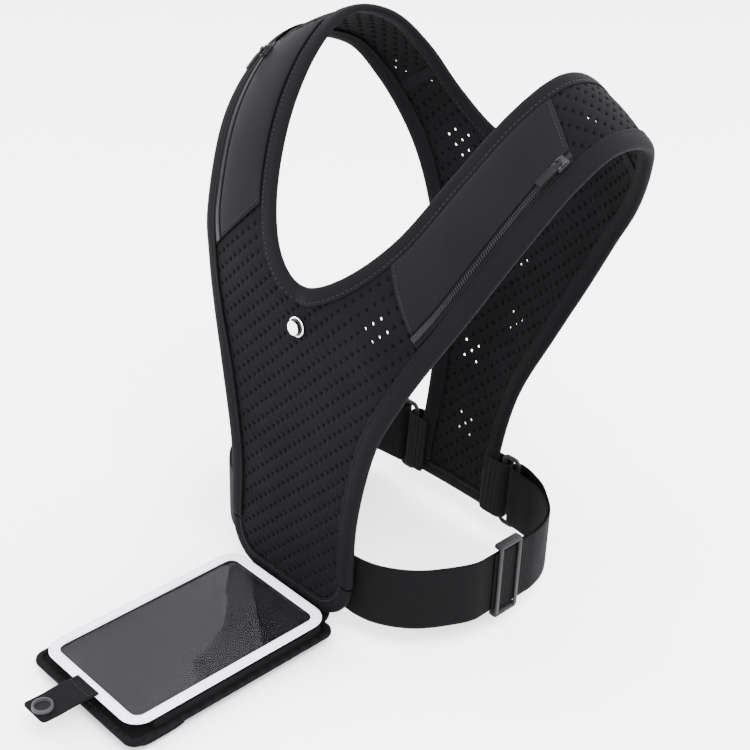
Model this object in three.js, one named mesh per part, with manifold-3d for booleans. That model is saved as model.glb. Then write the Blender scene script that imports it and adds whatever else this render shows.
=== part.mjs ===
// A running vest: a perforated chest and back harness with a phone pouch that flips down from the
// bottom of the chest panel, and an elastic waist belt. Millimetres, +Z up. The wearer faces -Y,
// the wearer's left is +X, and the origin is midway between the shoulders, where the straps rest.
import * as THREE from "three";
import { mergeVertices } from "three/addons/utils/BufferGeometryUtils.js";
import Module from "manifold-3d";

const wasm = await Module();
wasm.setup();

// Overall sizes of the vest.
const shoulderHalfWidth = 146; // from the middle to the armhole edge on top of the shoulder
const chestHeight = 351; // from the origin down to the bottom edge of the chest panel
const frontReach = 146; // from the origin forward to the bottom of the chest panel
const backReach = 85; // from the origin back to the bottom of the neck opening

// Sheet and tape.
const sheetThickness = 3;
const bindingWidth = 12;
const bindingThickness = 0.9;
const bindingClearance = 0.8;
const pocketThickness = 1.2;
const gap = 0.4; // between pieces that are sewn on each other
const seamGap = 0.5; // between pieces that meet edge to edge
const sheetSetback = 1.6; // from the outside of the binding to the edge of the sheet
const strapCrown = 3; // how far a strap bulges outwards between its edges

// The tongue at the bottom of the chest panel, and the bottom of the back panel.
const tongueCornerRadius = 31;
const backHemHalfWidth = 0.281 * shoulderHalfWidth;
const backHemHeight = 0.98 * chestHeight; // from the origin down

// Waist belt, from behind the tongue round a ring at the back and doubled back to its slider.
const beltWidth = 50;
const beltThickness = 1.3;
const beltMiddle = 24 - backHemHeight; // its height, and the rings'
const beltTop = beltMiddle + beltWidth / 2;
const beltFrontY = 9.4 - frontReach;
const beltHalfWidth = 118.5;
const beltLayers = 1.8; // between the middles of the belt's two layers
const beltTurn = 5.2; // radius of the belt's turn round the ring
const anchorHalfWidth = 45;
const anchorThickness = 2.2;
const sliderLength = 22;
const sliderBar = 3.4;
const sliderRail = 4;
const sliderThickness = 1.5;
const sliderY = -52;

// Rings that join the belt to the back panel, and their loops.
const ringBar = 3.4;
const ringThickness = 2.6;
const ringSlotWidth = 10;
const ringMargin = 1.2; // above and below the belt
const ringEnd = 5.5; // height of the ring's rounded ends
const ringPivot = [backHemHalfWidth + 5, 25.8]; // x and y of the bar in the vest's loop
const ringLoopThickness = 1.4;
const ringLoopTurn = 5.5;
const ringLoopHeight = beltWidth - 4;
const ringLoopStart = backHemHalfWidth - 11; // x of the loop's sewn end
const ringLoopLean = 29.13 / chestHeight; // as the back panel leans

// Phone pouch, lying open in front of the tongue.
const pouchNear = -4.3 - frontReach; // y of the edge at the tongue
const pouchLength = 170;
const pouchHalfWidth = 57;
const pouchCorner = 13;
const hinge = { y: pouchNear - 0.7, z: 10 - chestHeight };
const pouchTop = hinge.z - 3.6; // the top of its border
const pouchBase = 2;
const pouchWall = 1.6;
const pouchWallInset = 4;
const pouchDepth = 7; // clear height inside
const windowThickness = 0.6;
const borderThickness = 0.8;
const borderWidth = 7.5;
const borderInset = 5.2;
const borderNearInset = 1.6;
const rearPocket = { halfWidth: 59, length: 37, fromFar: 6.3, depth: 7, corner: 9 };
const hingeTapeLength = 18;
const hingeTapeThickness = 1;

// Snap fastener on its tab, and its stud on the chest.
const snapReach = pouchLength + 25.2; // from the hinge to the snap, on the pouch and on the chest
const tabWidth = 24;
const tabThickness = 1.6;
const tabRootLength = 8;
const tabFold = 1.2; // from the pouch's end to the line where the tab folds
const tabBeyondSnap = 7.6;
const studBaseRadius = 7;
const studBaseThickness = 1.4;
const studStemRadius = 4.2;
const studPostRadius = 5;
const studHeight = 4.5;
const socketRadius = 7.2;
const socketBore = 5.5;
const socketHeight = 2.6;
const capRadius = 6;
const capThickness = 1.3;
const roundSides = 28;

// Zip of a strap pocket, with its slider and pull.
const zipWidth = 6;
const zipThickness = 1.3;
const zipSlider = { length: 10, width: 7, height: 2.2, earHeight: 2, earThickness: 1.6 };
const zipSliderRest = 0.93; // share of the zip's length, from its lower end
const zipSliderLift = 0.7; // above the chain
const zipPull = { length: 20, width: 4.6, neck: 2.6, thickness: 1.1 };
const pullEndReach = 0.8; // past its axis, short enough to turn over the slider
const pullFlareStart = -4.5;
const pullFlareEnd = -6;
const pullAxisRise = 1.1; // above the slider's body
const earClearance = 0.3;
const earLength = 4;
const earSink = 1; // into the slider's body

// Corners, and small allowances.
const anchorCorner = 3;
const anchorHalfHeight = 23;
const mouthOvercut = 20; // the pouch's open end
const ringCorner = 5;
const ringInnerCorner = 2;
const pouchPartCorner = 9;
const pouchWallInnerCorner = 7.4;
const borderInnerCorner = 3;
const hingeTapeCorner = 2;
const hingeTapeOverlap = 10;
const tabRootCorner = 0.5;
const postHeight = 1.6;
const postSink = 0.5; // of the stem into the post
const boreFloor = 0.6;
const overcut = 1; // a cutter's reach past the face that it cuts
const lastRibSpacing = 38; // between the last two ribs, at the armhole
const hemRibSpacing = 40;
const neckMiddleReach = 1.2; // in ribs
const ribStep = 0.02; // for directions along and across the sheet
const returnFade = 45; // of the belt's doubled end, from its ring
const doubledPastSlider = 18;
const beltEndMargin = 0.5;

// Ribs run across the left half of the vest from an inner point to the armhole edge. Each row is a
// rib in shares of the overall sizes: x of shoulderHalfWidth, z of chestHeight, and y of frontReach
// where it is negative and of backReach where it is positive.
const chestRibs = [
  { inner: [0, -0.99, -0.912], edge: [0.425, -0.979, -0.912] },
  { inner: [0, -0.97, -0.76], edge: [0.429, -0.97, -0.76] },
  { inner: [0, -0.947, -0.56], edge: [0.51, -0.955, -0.59] },
];
const strapRibs = [
  { inner: [0, -0.925, -0.334], edge: [0.612, -0.912, -0.483] },
  { inner: [0.201, -0.876, -0.297], edge: [0.716, -0.855, -0.392] },
  { inner: [0.381, -0.736, -0.214], edge: [0.814, -0.782, -0.309] },
  { inner: [0.503, -0.543, -0.099], edge: [0.935, -0.594, -0.174] },
  { inner: [0.577, -0.311, -0.001], edge: [0.987, -0.375, -0.084] },
  { inner: [0.609, -0.073, 0.047], edge: [0.997, -0.129, -0.039] },
  { inner: [0.581, 0.284, 0.023], edge: [0.94, 0.308, -0.068] },
  { inner: [0.536, 0.634, -0.054], edge: [0.851, 0.558, -0.144] },
  { inner: [0.439, 0.855, -0.144], edge: [0.737, 0.722, -0.243] },
  { inner: [0.251, 0.965, -0.213], edge: [0.625, 0.762, -0.332] },
  { inner: [0, 1, -0.237], edge: [0.513, 0.738, -0.44] },
];
const backRibs = [
  { inner: [0, 0.93, -0.44], edge: [0.398, 0.622, -0.562] },
  { inner: [0, 0.68, -0.63], edge: [0.284, 0.427, -0.711] },
  { inner: [0, 0.36, -0.84], edge: [0.26, 0.3, -0.871] },
];

// Parameters along the vest: whole numbers are ribs, counted from the lowest one on the chest.
const neckStart = chestRibs.length;
const neckEnd = neckStart + strapRibs.length - 1;
const lastRib = neckEnd + backRibs.length + 1;
const chestSeam = { inner: 4.9, edge: 4 };
const backSeam = 10.5;
const pocketTop = { inner: 7.7, edge: 7.2 };
const flattening = 2; // how many ribs the curve of the chest and back takes to fade on a strap

function sized([x, y, z]) {
  const reach = y < 0 ? frontReach : backReach;
  return new THREE.Vector3(x * shoulderHalfWidth, y * reach, z * chestHeight);
}

const hemRib = {
  inner: new THREE.Vector3(0, 25, -backHemHeight),
  edge: new THREE.Vector3(backHemHalfWidth, 24.3, -backHemHeight),
};
const chestInner = [...chestRibs, strapRibs[0]].map((rib) => sized(rib.inner));
const backInner = [strapRibs.at(-1), ...backRibs].map((rib) => sized(rib.inner));
backInner.push(hemRib.inner);
const edgePoints = [...chestRibs, ...strapRibs, ...backRibs].map((rib) => sized(rib.edge));
edgePoints.push(hemRib.edge);
const leftNeck = strapRibs.map((rib) => sized(rib.inner));
const rightNeck = leftNeck
  .slice(1, -1)
  .reverse()
  .map((point) => point.clone().setX(-point.x));

const chestLine = new THREE.CatmullRomCurve3(chestInner, false, "catmullrom");
const backLine = new THREE.CatmullRomCurve3(backInner, false, "catmullrom");
const edgeLine = new THREE.CatmullRomCurve3(edgePoints, false, "catmullrom");
const neckLine = new THREE.CatmullRomCurve3([...leftNeck, ...rightNeck], true, "catmullrom");

function innerPoint(t) {
  if (t <= neckStart) return chestLine.getPoint(Math.max(t, 0) / neckStart);
  if (t < neckEnd) return neckLine.getPoint((t - neckStart) / neckLine.points.length);
  return backLine.getPoint(Math.min((t - neckEnd) / (lastRib - neckEnd), 1));
}

function edgePoint(t) {
  return edgeLine.getPoint(THREE.MathUtils.clamp(t / lastRib, 0, 1));
}

// How much of the chest's or back's curve a rib has: 1 on the middle ribs, 0 on the straps.
function archShare(t) {
  const intoStrap = Math.min(t - neckStart, neckEnd - t);
  return 1 - THREE.MathUtils.smoothstep(intoStrap, 0, flattening);
}

function ribNormal(t) {
  const step = 0.05;
  const before = innerPoint(t - step).add(edgePoint(t - step));
  const along = innerPoint(t + step).add(edgePoint(t + step)).sub(before);
  const across = edgePoint(t).sub(innerPoint(t));
  return across.cross(along).normalize();
}

// The middle of the sheet at share w of the rib, from 0 at its inner end to 1 at the armhole.
function sheetMiddle(t, w) {
  const inner = innerPoint(t);
  const across = edgePoint(t).sub(inner);
  const arch = archShare(t) * (w * w - w);
  const point = inner.clone().addScaledVector(across, w);
  point.y += arch * across.y;
  point.z += arch * across.z;
  const crown = strapCrown * (1 - archShare(t)) * 4 * w * (1 - w);
  return point.addScaledVector(ribNormal(t), crown);
}

// Next to the middle of the neck the ribs leave along its edge: 1 there, 0 from the next rib on.
function neckMiddleShare(t) {
  const intoStrap = Math.min(t - neckStart, neckEnd - t);
  return intoStrap < 0 ? 0 : 1 - THREE.MathUtils.smoothstep(intoStrap, 0, neckMiddleReach);
}

function sheetNormal(t, w) {
  const step = 0.02;
  const share = Math.max(w, neckMiddleShare(t) / 4);
  const low = Math.max(share - step, 0);
  const high = Math.min(share + step, 1);
  const across = sheetMiddle(t, high).sub(sheetMiddle(t, low));
  const along = sheetMiddle(Math.min(t + step, lastRib), share).sub(sheetMiddle(t - step, share));
  return across.cross(along).normalize();
}

function ribLength(t) {
  return edgePoint(t).distanceTo(innerPoint(t));
}

const { lerp } = THREE.MathUtils;

// Evenly spaced numbers from one value to another, both included.
function steps(from, to, count) {
  return Array.from({ length: count + 1 }, (_, i) => lerp(from, to, i / count));
}

function meshGeometry(positions, index) {
  const geometry = new THREE.BufferGeometry();
  geometry.setAttribute("position", new THREE.Float32BufferAttribute(positions, 3));
  geometry.setIndex(index);
  return geometry;
}

// A closed solid from grids of { low, high } cells: two faces, and a wall along every free edge.
// Grids that share cells are joined there.
function thickSheet(...grids) {
  const quads = grids.flatMap(({ rows, flipped }) =>
    rows.slice(1).flatMap((row, i) =>
      row.slice(1).map((cell, j) => {
        const quad = [rows[i][j], rows[i][j + 1], cell, row[j]];
        return flipped ? quad.reverse() : quad;
      }),
    ),
  );
  const cells = [...new Set(quads.flat())];
  const number = new Map(cells.map((cell, i) => [cell, i]));
  const positions = cells.flatMap(({ low, high }) => [...low.toArray(), ...high.toArray()]);
  const low = (cell) => 2 * number.get(cell);
  const high = (cell) => low(cell) + 1;
  const index = [];
  const face = (a, b, c, d) => index.push(a, b, c, a, c, d);
  const name = (a, b) => low(a) + "-" + low(b);
  const edges = new Set();
  for (const quad of quads) quad.forEach((a, i) => edges.add(name(a, quad[(i + 1) % 4])));
  for (const [a, b, c, d] of quads) {
    face(high(a), high(b), high(c), high(d));
    face(low(d), low(c), low(b), low(a));
    for (const [from, to] of [[a, b], [b, c], [c, d], [d, a]]) {
      if (!edges.has(name(to, from))) face(low(from), low(to), high(to), high(from));
    }
  }
  return meshGeometry(positions, index);
}

function flip(vector) {
  return vector.clone().setX(-vector.x);
}

function flippedRows(rows) {
  return rows.map((row) =>
    row.map((cell) =>
      cell.low.x === 0 && cell.high.x === 0 ? cell : { low: flip(cell.low), high: flip(cell.high) },
    ),
  );
}

function bothHalves(rows) {
  return thickSheet({ rows }, { rows: flippedRows(rows), flipped: true });
}

function bare(geometry) {
  const copy = geometry.clone();
  copy.deleteAttribute("normal");
  copy.deleteAttribute("uv");
  return mergeVertices(copy, 1e-4);
}

function mirrored(geometry) {
  const copy = bare(geometry).applyMatrix4(new THREE.Matrix4().makeScale(-1, 1, 1));
  const index = copy.index.array;
  for (let i = 0; i < index.length; i += 3) {
    [index[i + 1], index[i + 2]] = [index[i + 2], index[i + 1]];
  }
  return copy;
}

function toSolid(geometry) {
  const merged = bare(geometry);
  const vertProperties = merged.attributes.position.array;
  const triVerts = new Uint32Array(merged.index.array);
  return new wasm.Manifold(new wasm.Mesh({ numProp: 3, vertProperties, triVerts }));
}

function toGeometry(solid) {
  const mesh = solid.getMesh();
  return meshGeometry([...mesh.vertProperties], [...mesh.triVerts]);
}

// A place in the sheet's thickness, with low on the side at the body. On the middle line x is 0.
function cell(t, w, low, high) {
  const middle = sheetMiddle(t, w);
  const normal = sheetNormal(t, w);
  if (w === 0 && middle.x === 0) normal.setX(0).normalize();
  return {
    low: middle.clone().addScaledVector(normal, low),
    high: middle.clone().addScaledVector(normal, high),
  };
}

// A row of cells across the sheet, at distances from its inner end. It slants where its inner and
// outer parameters differ. Its ends lie beside the edges, and a row of the middle starts at x = 0.
function sheetRow({ inner, edge }, columns, low, high) {
  const length = ribLength((inner + edge) / 2);
  const cells = columns(length).map((distance) => {
    const w = distance / length;
    return cell(lerp(inner, edge, w), w, low, high);
  });
  return cells;
}

function besideEdge(sample, low, high) {
  const { normal, inward } = edgeFrame(sample);
  const middle = sample.point.clone().addScaledVector(inward, sheetSetback);
  return {
    low: middle.clone().addScaledVector(normal, low),
    high: middle.clone().addScaledVector(normal, high),
  };
}

// A row of the sheet itself, from the neck edge or the middle line to the armhole edge.
function panelRow({ inner, edge }, columns) {
  const onNeck = inner > neckStart && inner < neckEnd;
  const cells = sheetRow({ inner, edge }, columns, -half, half);
  const first = onNeck ? besideEdge(neckSample(inner), -half, half) : cell(inner, 0, -half, half);
  return [first, ...cells, besideEdge(edgeSample(edge), -half, half)];
}

// Evenly spaced rows' parameters from a slanted row to another.
function slanted(start, end, count) {
  return steps(0, 1, count).map((share) => ({
    inner: lerp(start.inner, end.inner, share),
    edge: lerp(start.edge, end.edge, share),
  }));
}

const half = sheetThickness / 2;
const bindingReach = bindingWidth + 1;
const zipOuter = bindingReach + seamGap;
const zipInner = zipOuter + zipWidth;
const pocketOuter = zipInner + seamGap;

// Distances of the sheet's columns from the inner end of a rib.
function panelColumns(length) {
  return steps(bindingReach, length - bindingReach, 3);
}

function strapColumns(length) {
  return [...pocketColumns(length), length - bindingReach];
}

function pocketColumns(length) {
  return steps(bindingReach, length - pocketOuter, 3);
}

function zipColumns(length) {
  return [length - zipInner, length - zipOuter];
}

// The tongue below the lowest rib: its outline turns a quarter circle at each bottom corner.
const tongueTop = { inner: sized(chestRibs[0].inner), edge: sized(chestRibs[0].edge) };

function tongueEdge(angle, inset) {
  const radius = tongueCornerRadius - inset;
  const x = tongueTop.edge.x - tongueCornerRadius + radius * Math.cos(angle);
  return { x, z: tongueTop.edge.z - radius * Math.sin(angle) };
}

function tongueMiddle(x, z) {
  const above = innerPoint(0.3).sub(tongueTop.inner);
  const lean = above.y / above.z;
  const share = x / tongueTop.edge.x;
  const arch = (tongueTop.edge.y - tongueTop.inner.y) * share * share;
  return new THREE.Vector3(x, tongueTop.inner.y + lean * (z - tongueTop.inner.z) + arch, z);
}

function tongueRow(angle) {
  const { x, z } = tongueEdge(angle, sheetSetback);
  const length = ribLength(0);
  const last = length - sheetSetback;
  const shares = panelColumns(length).map((distance) => distance / last);
  return [0, ...shares, 1].map((share) => {
    const middle = tongueMiddle(x * share, z);
    const thickness = new THREE.Vector3(0, -half, 0);
    return { low: middle.clone().sub(thickness), high: middle.clone().add(thickness) };
  });
}

// Rows near the middle of the neck, as shares of the way to the first full strap row.
const neckRows = [0.04, 0.1, 0.18, 0.3, 0.45, 0.6, 0.8, 1];
const vertexGap = 0.025; // share of a rib spacing that keeps the sheet off the binding there

function chestPanel() {
  const rows = steps(Math.PI / 2, 0.15, 5).map(tongueRow);
  for (const t of steps(0, neckStart - 0.3, 8)) {
    rows.push(panelRow({ inner: t, edge: t }, panelColumns));
  }
  rows.push(panelRow({ inner: neckStart - vertexGap, edge: neckStart }, panelColumns));
  for (const share of neckRows) {
    const inner = lerp(neckStart, chestSeam.inner, share);
    const edge = lerp(neckStart, chestSeam.edge, share);
    rows.push(panelRow({ inner, edge }, panelColumns));
  }
  return bothHalves(rows);
}

function backPanel() {
  const rows = [...neckRows].reverse().map((share) => {
    const t = lerp(neckEnd, backSeam + 0.015, share);
    return panelRow({ inner: t, edge: t }, panelColumns);
  });
  const bottom = lastRib - sheetSetback / hemRibSpacing;
  for (const t of [neckEnd + vertexGap, ...steps(neckEnd + 0.3, bottom, 15)]) {
    rows.push(panelRow({ inner: t, edge: t }, panelColumns));
  }
  return bothHalves(rows);
}

const chestSeamAbove = { inner: chestSeam.inner + ribStep, edge: chestSeam.edge + ribStep };
const backSeamAt = { inner: backSeam, edge: backSeam };

function shoulderStrap() {
  const rows = slanted(chestSeamAbove, backSeamAt, 30).map((row) => panelRow(row, strapColumns));
  return thickSheet({ rows });
}

function overlay(columns, thickness) {
  const low = half + gap;
  const rows = slanted(chestSeamAbove, pocketTop, 14).map((row) =>
    sheetRow(row, columns, low, low + thickness),
  );
  return thickSheet({ rows });
}

function edgeFrame({ along, facing }) {
  const tangent = along.clone().normalize();
  const inward = facing.clone().cross(tangent).normalize();
  return { inward, normal: tangent.cross(inward) };
}

// The section of folded tape, grown all round by a margin: depth into the sheet and height off
// its middle.
function bindingSection(sample, margin) {
  const { inward, normal } = edgeFrame(sample);
  const { point } = sample;
  const low = half + bindingClearance - margin;
  const high = half + bindingClearance + bindingThickness + margin;
  const lip = bindingWidth + margin;
  const web = bindingThickness + margin;
  const chamfer = 0.9;
  const outline = [
    [lip, low],
    [web, low],
    [web, -low],
    [lip, -low],
    [lip, -high],
    [chamfer, -high],
    [0, chamfer - high],
    [0, high - chamfer],
    [chamfer, high],
    [lip, high],
  ];
  return outline.map(([depth, height]) =>
    point.clone().addScaledVector(inward, depth).addScaledVector(normal, height),
  );
}

const bindingCap = [
  [0, 1, 9],
  [1, 8, 9],
  [1, 7, 8],
  [1, 2, 7],
  [2, 6, 7],
  [2, 5, 6],
  [2, 3, 5],
  [3, 4, 5],
];

// Binding along samples of { point, along, facing }, with the sheet on the left of along.
function bindingSolid(samples, closed, margin = 0) {
  const sections = samples.map((sample) => bindingSection(sample, margin));
  const count = sections[0].length;
  const positions = sections.flat().flatMap((place) => place.toArray());
  const index = [];
  const spans = closed ? sections.length : sections.length - 1;
  for (let i = 0; i < spans; i++) {
    const here = i * count;
    const next = ((i + 1) % sections.length) * count;
    for (let j = 0; j < count; j++) {
      const k = (j + 1) % count;
      index.push(here + j, next + j, next + k, here + j, next + k, here + k);
    }
  }
  if (!closed) {
    const last = (sections.length - 1) * count;
    for (const [a, b, c] of bindingCap) index.push(a, b, c, last + a, last + c, last + b);
  }
  return meshGeometry(positions, index);
}

function edgeSample(t) {
  const point = edgePoint(t);
  const along = edgePoint(t + ribStep).sub(edgePoint(t - ribStep)).normalize();
  const across = sheetMiddle(t, 1 - bindingReach / ribLength(t)).sub(point).negate();
  return { point, along, facing: across.cross(along).normalize() };
}

function armholeBinding(margin) {
  const end = lastRib - (bindingWidth + 6 * seamGap) / lastRibSpacing;
  return bindingSolid(steps(ribStep, end, 60).map(edgeSample), false, margin);
}

function neckSample(t) {
  const share = (t - neckStart) / neckLine.points.length;
  const point = innerPoint(t);
  const along = neckLine.getTangent(share).negate();
  const across = sheetMiddle(t, bindingReach / ribLength(t)).sub(point).negate();
  const facing = across.cross(along).normalize();
  return { point, along, facing: facing.lerp(sheetNormal(t, 0), neckMiddleShare(t)) };
}

function flippedSample({ point, along, facing }) {
  return { point: flip(point), along: flip(along).negate(), facing: flip(facing) };
}

function middleSample(t, direction) {
  const facing = sheetNormal(t, 0).setX(0);
  return { point: innerPoint(t), along: new THREE.Vector3(direction, 0, 0), facing };
}

function neckBinding(margin) {
  const left = steps(neckStart, neckEnd, 34).slice(1, -1).map(neckSample);
  const front = middleSample(neckStart, -1);
  const back = middleSample(neckEnd, 1);
  const right = left.map(flippedSample);
  return bindingSolid([back, ...left.reverse(), front, ...right], true, margin);
}

// Where the sheet bends sharply beside its edge, it is thinned to stay clear of the tape.
function clearOfBindings(geometry) {
  const armhole = armholeBinding(gap / 2);
  const bindings = [armhole, mirrored(armhole), neckBinding(gap / 2)].map(toSolid);
  return toGeometry(bindings.reduce((sheet, tape) => sheet.subtract(tape), toSolid(geometry)));
}

function tongueHem() {
  const left = steps(0.03, Math.PI / 2, 8).map((angle) => {
    const { x, z } = tongueEdge(angle, 0);
    const point = tongueMiddle(x, z);
    const along = new THREE.Vector3(Math.sin(angle), 0, Math.cos(angle));
    return { point, along, facing: new THREE.Vector3(0, -1, 0) };
  });
  return bindingSolid([...left.map(flippedSample), ...left.reverse()], false);
}

function backHem() {
  const left = steps(0, 1, 4).map((w) => ({
    point: sheetMiddle(lastRib, w),
    along: new THREE.Vector3(-1, 0, 0),
    facing: sheetNormal(lastRib - 0.15, w).setX(0),
  }));
  const right = left.slice(1).map(flippedSample);
  return bindingSolid([...left.reverse(), ...right], false);
}

// A rectangle with rounded corners, as a shape or as a hole in one.
function roundedOutline(Kind, left, bottom, right, top, radius) {
  const outline = new Kind();
  outline.moveTo(right, bottom + radius);
  outline.absarc(right - radius, top - radius, radius, 0, Math.PI / 2);
  outline.absarc(left + radius, top - radius, radius, Math.PI / 2, Math.PI);
  outline.absarc(left + radius, bottom + radius, radius, Math.PI, 1.5 * Math.PI);
  outline.absarc(right - radius, bottom + radius, radius, 1.5 * Math.PI, 2 * Math.PI);
  return outline;
}

// A plate with its outline in x and y, from bottom up to bottom + thickness.
function plate(shape, bottom, thickness, curveSegments = 6) {
  const options = { depth: thickness, bevelEnabled: false, curveSegments };
  return new THREE.ExtrudeGeometry(shape, options).translate(0, 0, bottom);
}

function roundedPlate(left, near, right, far, radius, bottom, thickness) {
  const low = Math.min(near, far);
  const high = Math.max(near, far);
  const shape = roundedOutline(THREE.Shape, left, low, right, high, radius);
  return plate(shape, bottom, thickness);
}

// A drum on the z axis from the origin up.
function drum(radius, height) {
  const upright = new THREE.CylinderGeometry(radius, radius, height, roundSides);
  return upright.rotateX(Math.PI / 2).translate(0, 0, height / 2);
}

// Stands a geometry, built along z from the origin, on a point with z turned to a direction.
function stoodOn(geometry, point, direction) {
  const turn = new THREE.Quaternion().setFromUnitVectors(new THREE.Vector3(0, 0, 1), direction);
  return geometry.applyQuaternion(turn).translate(...point.toArray());
}

// The belt's line seen from above, from the anchor to its turn round the ring.
const ringOuterBar = ringPivot[0] + ringSlotWidth + ringBar;
const ringY = ringPivot[1];
const beltPoints = [
  [2, beltFrontY],
  [40, beltFrontY],
  [62, beltFrontY],
  [80, -131],
  [98, -117],
  [111, -97],
  [beltHalfWidth, -78],
  [beltHalfWidth, -52],
  [beltHalfWidth, -26],
  [113, -6],
  [102, 8],
  [86, 17],
  [72, 19.3],
  [ringOuterBar, ringY - beltTurn],
];

function beltLine() {
  const corners = beltPoints.map(([x, y]) => new THREE.Vector2(x, y));
  const spline = new THREE.SplineCurve(corners);
  const samples = steps(0, 1, 52).map((share) => spline.getPoint(share));
  for (const place of samples) {
    if (place.x > beltHalfWidth - 1) place.x = Math.min(place.x, beltHalfWidth);
  }
  return samples;
}

function lineNormals(line) {
  return line.map((_, i) => {
    const before = line[Math.max(i - 1, 0)];
    const after = line[Math.min(i + 1, line.length - 1)];
    const along = after.clone().sub(before).normalize();
    return new THREE.Vector2(along.y, -along.x);
  });
}

// A tape on edge, with its middle line in x and y.
function tapeOnEdge(line, thickness, bottom, height) {
  const normals = lineNormals(line);
  const side = (sign) =>
    line.map((place, i) => place.clone().addScaledVector(normals[i], (sign * thickness) / 2));
  const shape = new THREE.Shape([...side(1), ...side(-1).reverse()]);
  return plate(shape, bottom, height);
}

function turnPoints([x, y], radius, side) {
  return steps(0, Math.PI, 9).map(
    (angle) => new THREE.Vector2(x + side * radius * Math.sin(angle), y - radius * Math.cos(angle)),
  );
}

function belt() {
  const main = beltLine();
  const normals = lineNormals(main);
  const turn = turnPoints([ringOuterBar, ringY], beltTurn, -1);
  const total = main.length - 1;
  const returned = main.map((place, i) => {
    const fromRing = place.distanceTo(main[total]);
    const spread = 2 * beltTurn - beltLayers;
    const offset = beltLayers + spread * (1 - THREE.MathUtils.smoothstep(fromRing, 0, returnFade));
    return place.clone().addScaledVector(normals[i], offset);
  });
  const isEnd = (place) =>
    place.x >= beltHalfWidth - beltEndMargin && place.y > sliderY - doubledPastSlider;
  const end = main.findIndex(isEnd);
  const back = returned.slice(end, total - 1).reverse();
  const line = [...main.slice(0, total - 1), ...turn, ...back];
  return tapeOnEdge(line, beltThickness, beltTop - beltWidth, beltWidth);
}

function beltAnchor() {
  const shape = roundedOutline(
    THREE.Shape, -anchorHalfWidth, -anchorHalfHeight, anchorHalfWidth, anchorHalfHeight, anchorCorner,
  );
  const front = beltFrontY - beltThickness / 2 - gap;
  const middle = beltTop - beltWidth / 2;
  return plate(shape, 0, anchorThickness)
    .rotateX(Math.PI / 2)
    .translate(0, front, middle);
}

// The ring is built in the plane of the belt's width, and so is the slider.
function ring() {
  const inner = beltWidth / 2 + ringMargin;
  const outer = inner + ringEnd;
  const left = ringPivot[0] - ringBar / 2;
  const right = ringOuterBar + ringBar / 2;
  const shape = roundedOutline(THREE.Shape, left, -outer, right, outer, ringCorner);
  shape.holes.push(
    roundedOutline(THREE.Path, left + ringBar, -inner, right - ringBar, inner, ringInnerCorner),
  );
  return plate(shape, -ringThickness / 2, ringThickness)
    .rotateX(Math.PI / 2)
    .translate(0, ringY, beltTop - beltWidth / 2);
}

function ringLoop() {
  const start = new THREE.Vector2(ringLoopStart, ringY - ringLoopTurn);
  const end = new THREE.Vector2(ringLoopStart, ringY + ringLoopTurn);
  const line = [start, ...turnPoints(ringPivot, ringLoopTurn, 1), end];
  const bottom = -ringLoopHeight / 2;
  const loop = tapeOnEdge(line, ringLoopThickness, bottom, ringLoopHeight);
  const lean = new THREE.Matrix4().makeShear(0, 0, 0, 0, 0, ringLoopLean);
  return loop.applyMatrix4(lean).translate(0, 0, beltTop - beltWidth / 2);
}

function beltSlider() {
  const inner = beltWidth / 2 + ringMargin;
  const outer = inner + sliderRail;
  const innerFace = -beltThickness / 2 - gap - sliderThickness;
  const outerFace = beltLayers + beltThickness / 2 + gap;
  const depth = outerFace + sliderThickness - innerFace;
  const end = sliderLength / 2;
  const box = (x, y, z, width, length, height) =>
    new THREE.BoxGeometry(width, length, height).translate(x + width / 2, y, z);
  const rail = new THREE.BoxGeometry(depth, sliderLength, sliderRail);
  const middle = innerFace + depth / 2;
  const height = 2 * inner + 1;
  const parts = [
    rail.clone().translate(middle, 0, inner + sliderRail / 2),
    rail.clone().translate(middle, 0, -inner - sliderRail / 2),
    box(innerFace, 0, 0, sliderThickness, sliderBar, height),
    box(outerFace, end - sliderBar / 2, 0, sliderThickness, sliderBar, height),
    box(outerFace, sliderBar / 2 - end, 0, sliderThickness, sliderBar, height),
  ];
  const solid = parts.map(toSolid).reduce((all, part) => all.add(part));
  return toGeometry(solid).translate(beltHalfWidth, sliderY, beltTop - beltWidth / 2);
}

// Levels of the pouch while it is open, from the top down.
const borderBottom = pouchTop - borderThickness;
const windowBottom = borderBottom - gap - windowThickness;
const wallTop = windowBottom - gap;
const floorTop = wallTop - pouchDepth;
const pouchBottom = floorTop - pouchBase;
const pouchFar = pouchNear - pouchLength;
const tabBottom = pouchTop + gap;

function pouchBack() {
  const base = roundedPlate(
    -pouchHalfWidth, pouchNear, pouchHalfWidth, pouchFar, pouchCorner, pouchBottom, pouchBase,
  );
  const outer = pouchHalfWidth - pouchWallInset;
  const inner = outer - pouchWall;
  const near = pouchNear - pouchWallInset;
  const far = pouchFar + pouchWallInset;
  const wallHeight = wallTop - floorTop + 1;
  const block = roundedPlate(-outer, near, outer, far, pouchPartCorner, floorTop - overcut, wallHeight);
  const hollow = roundedPlate(
    -inner, near - pouchWall, inner, far - mouthOvercut, pouchWallInnerCorner, floorTop, wallHeight + overcut,
  );
  const walls = toSolid(block).subtract(toSolid(hollow));
  return toGeometry(walls.add(toSolid(base)));
}

function pouchWindow() {
  const edge = pouchHalfWidth - borderInset;
  const near = pouchNear - borderNearInset;
  const far = pouchFar + borderInset;
  return roundedPlate(-edge, near, edge, far, pouchPartCorner, windowBottom, windowThickness);
}

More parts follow.
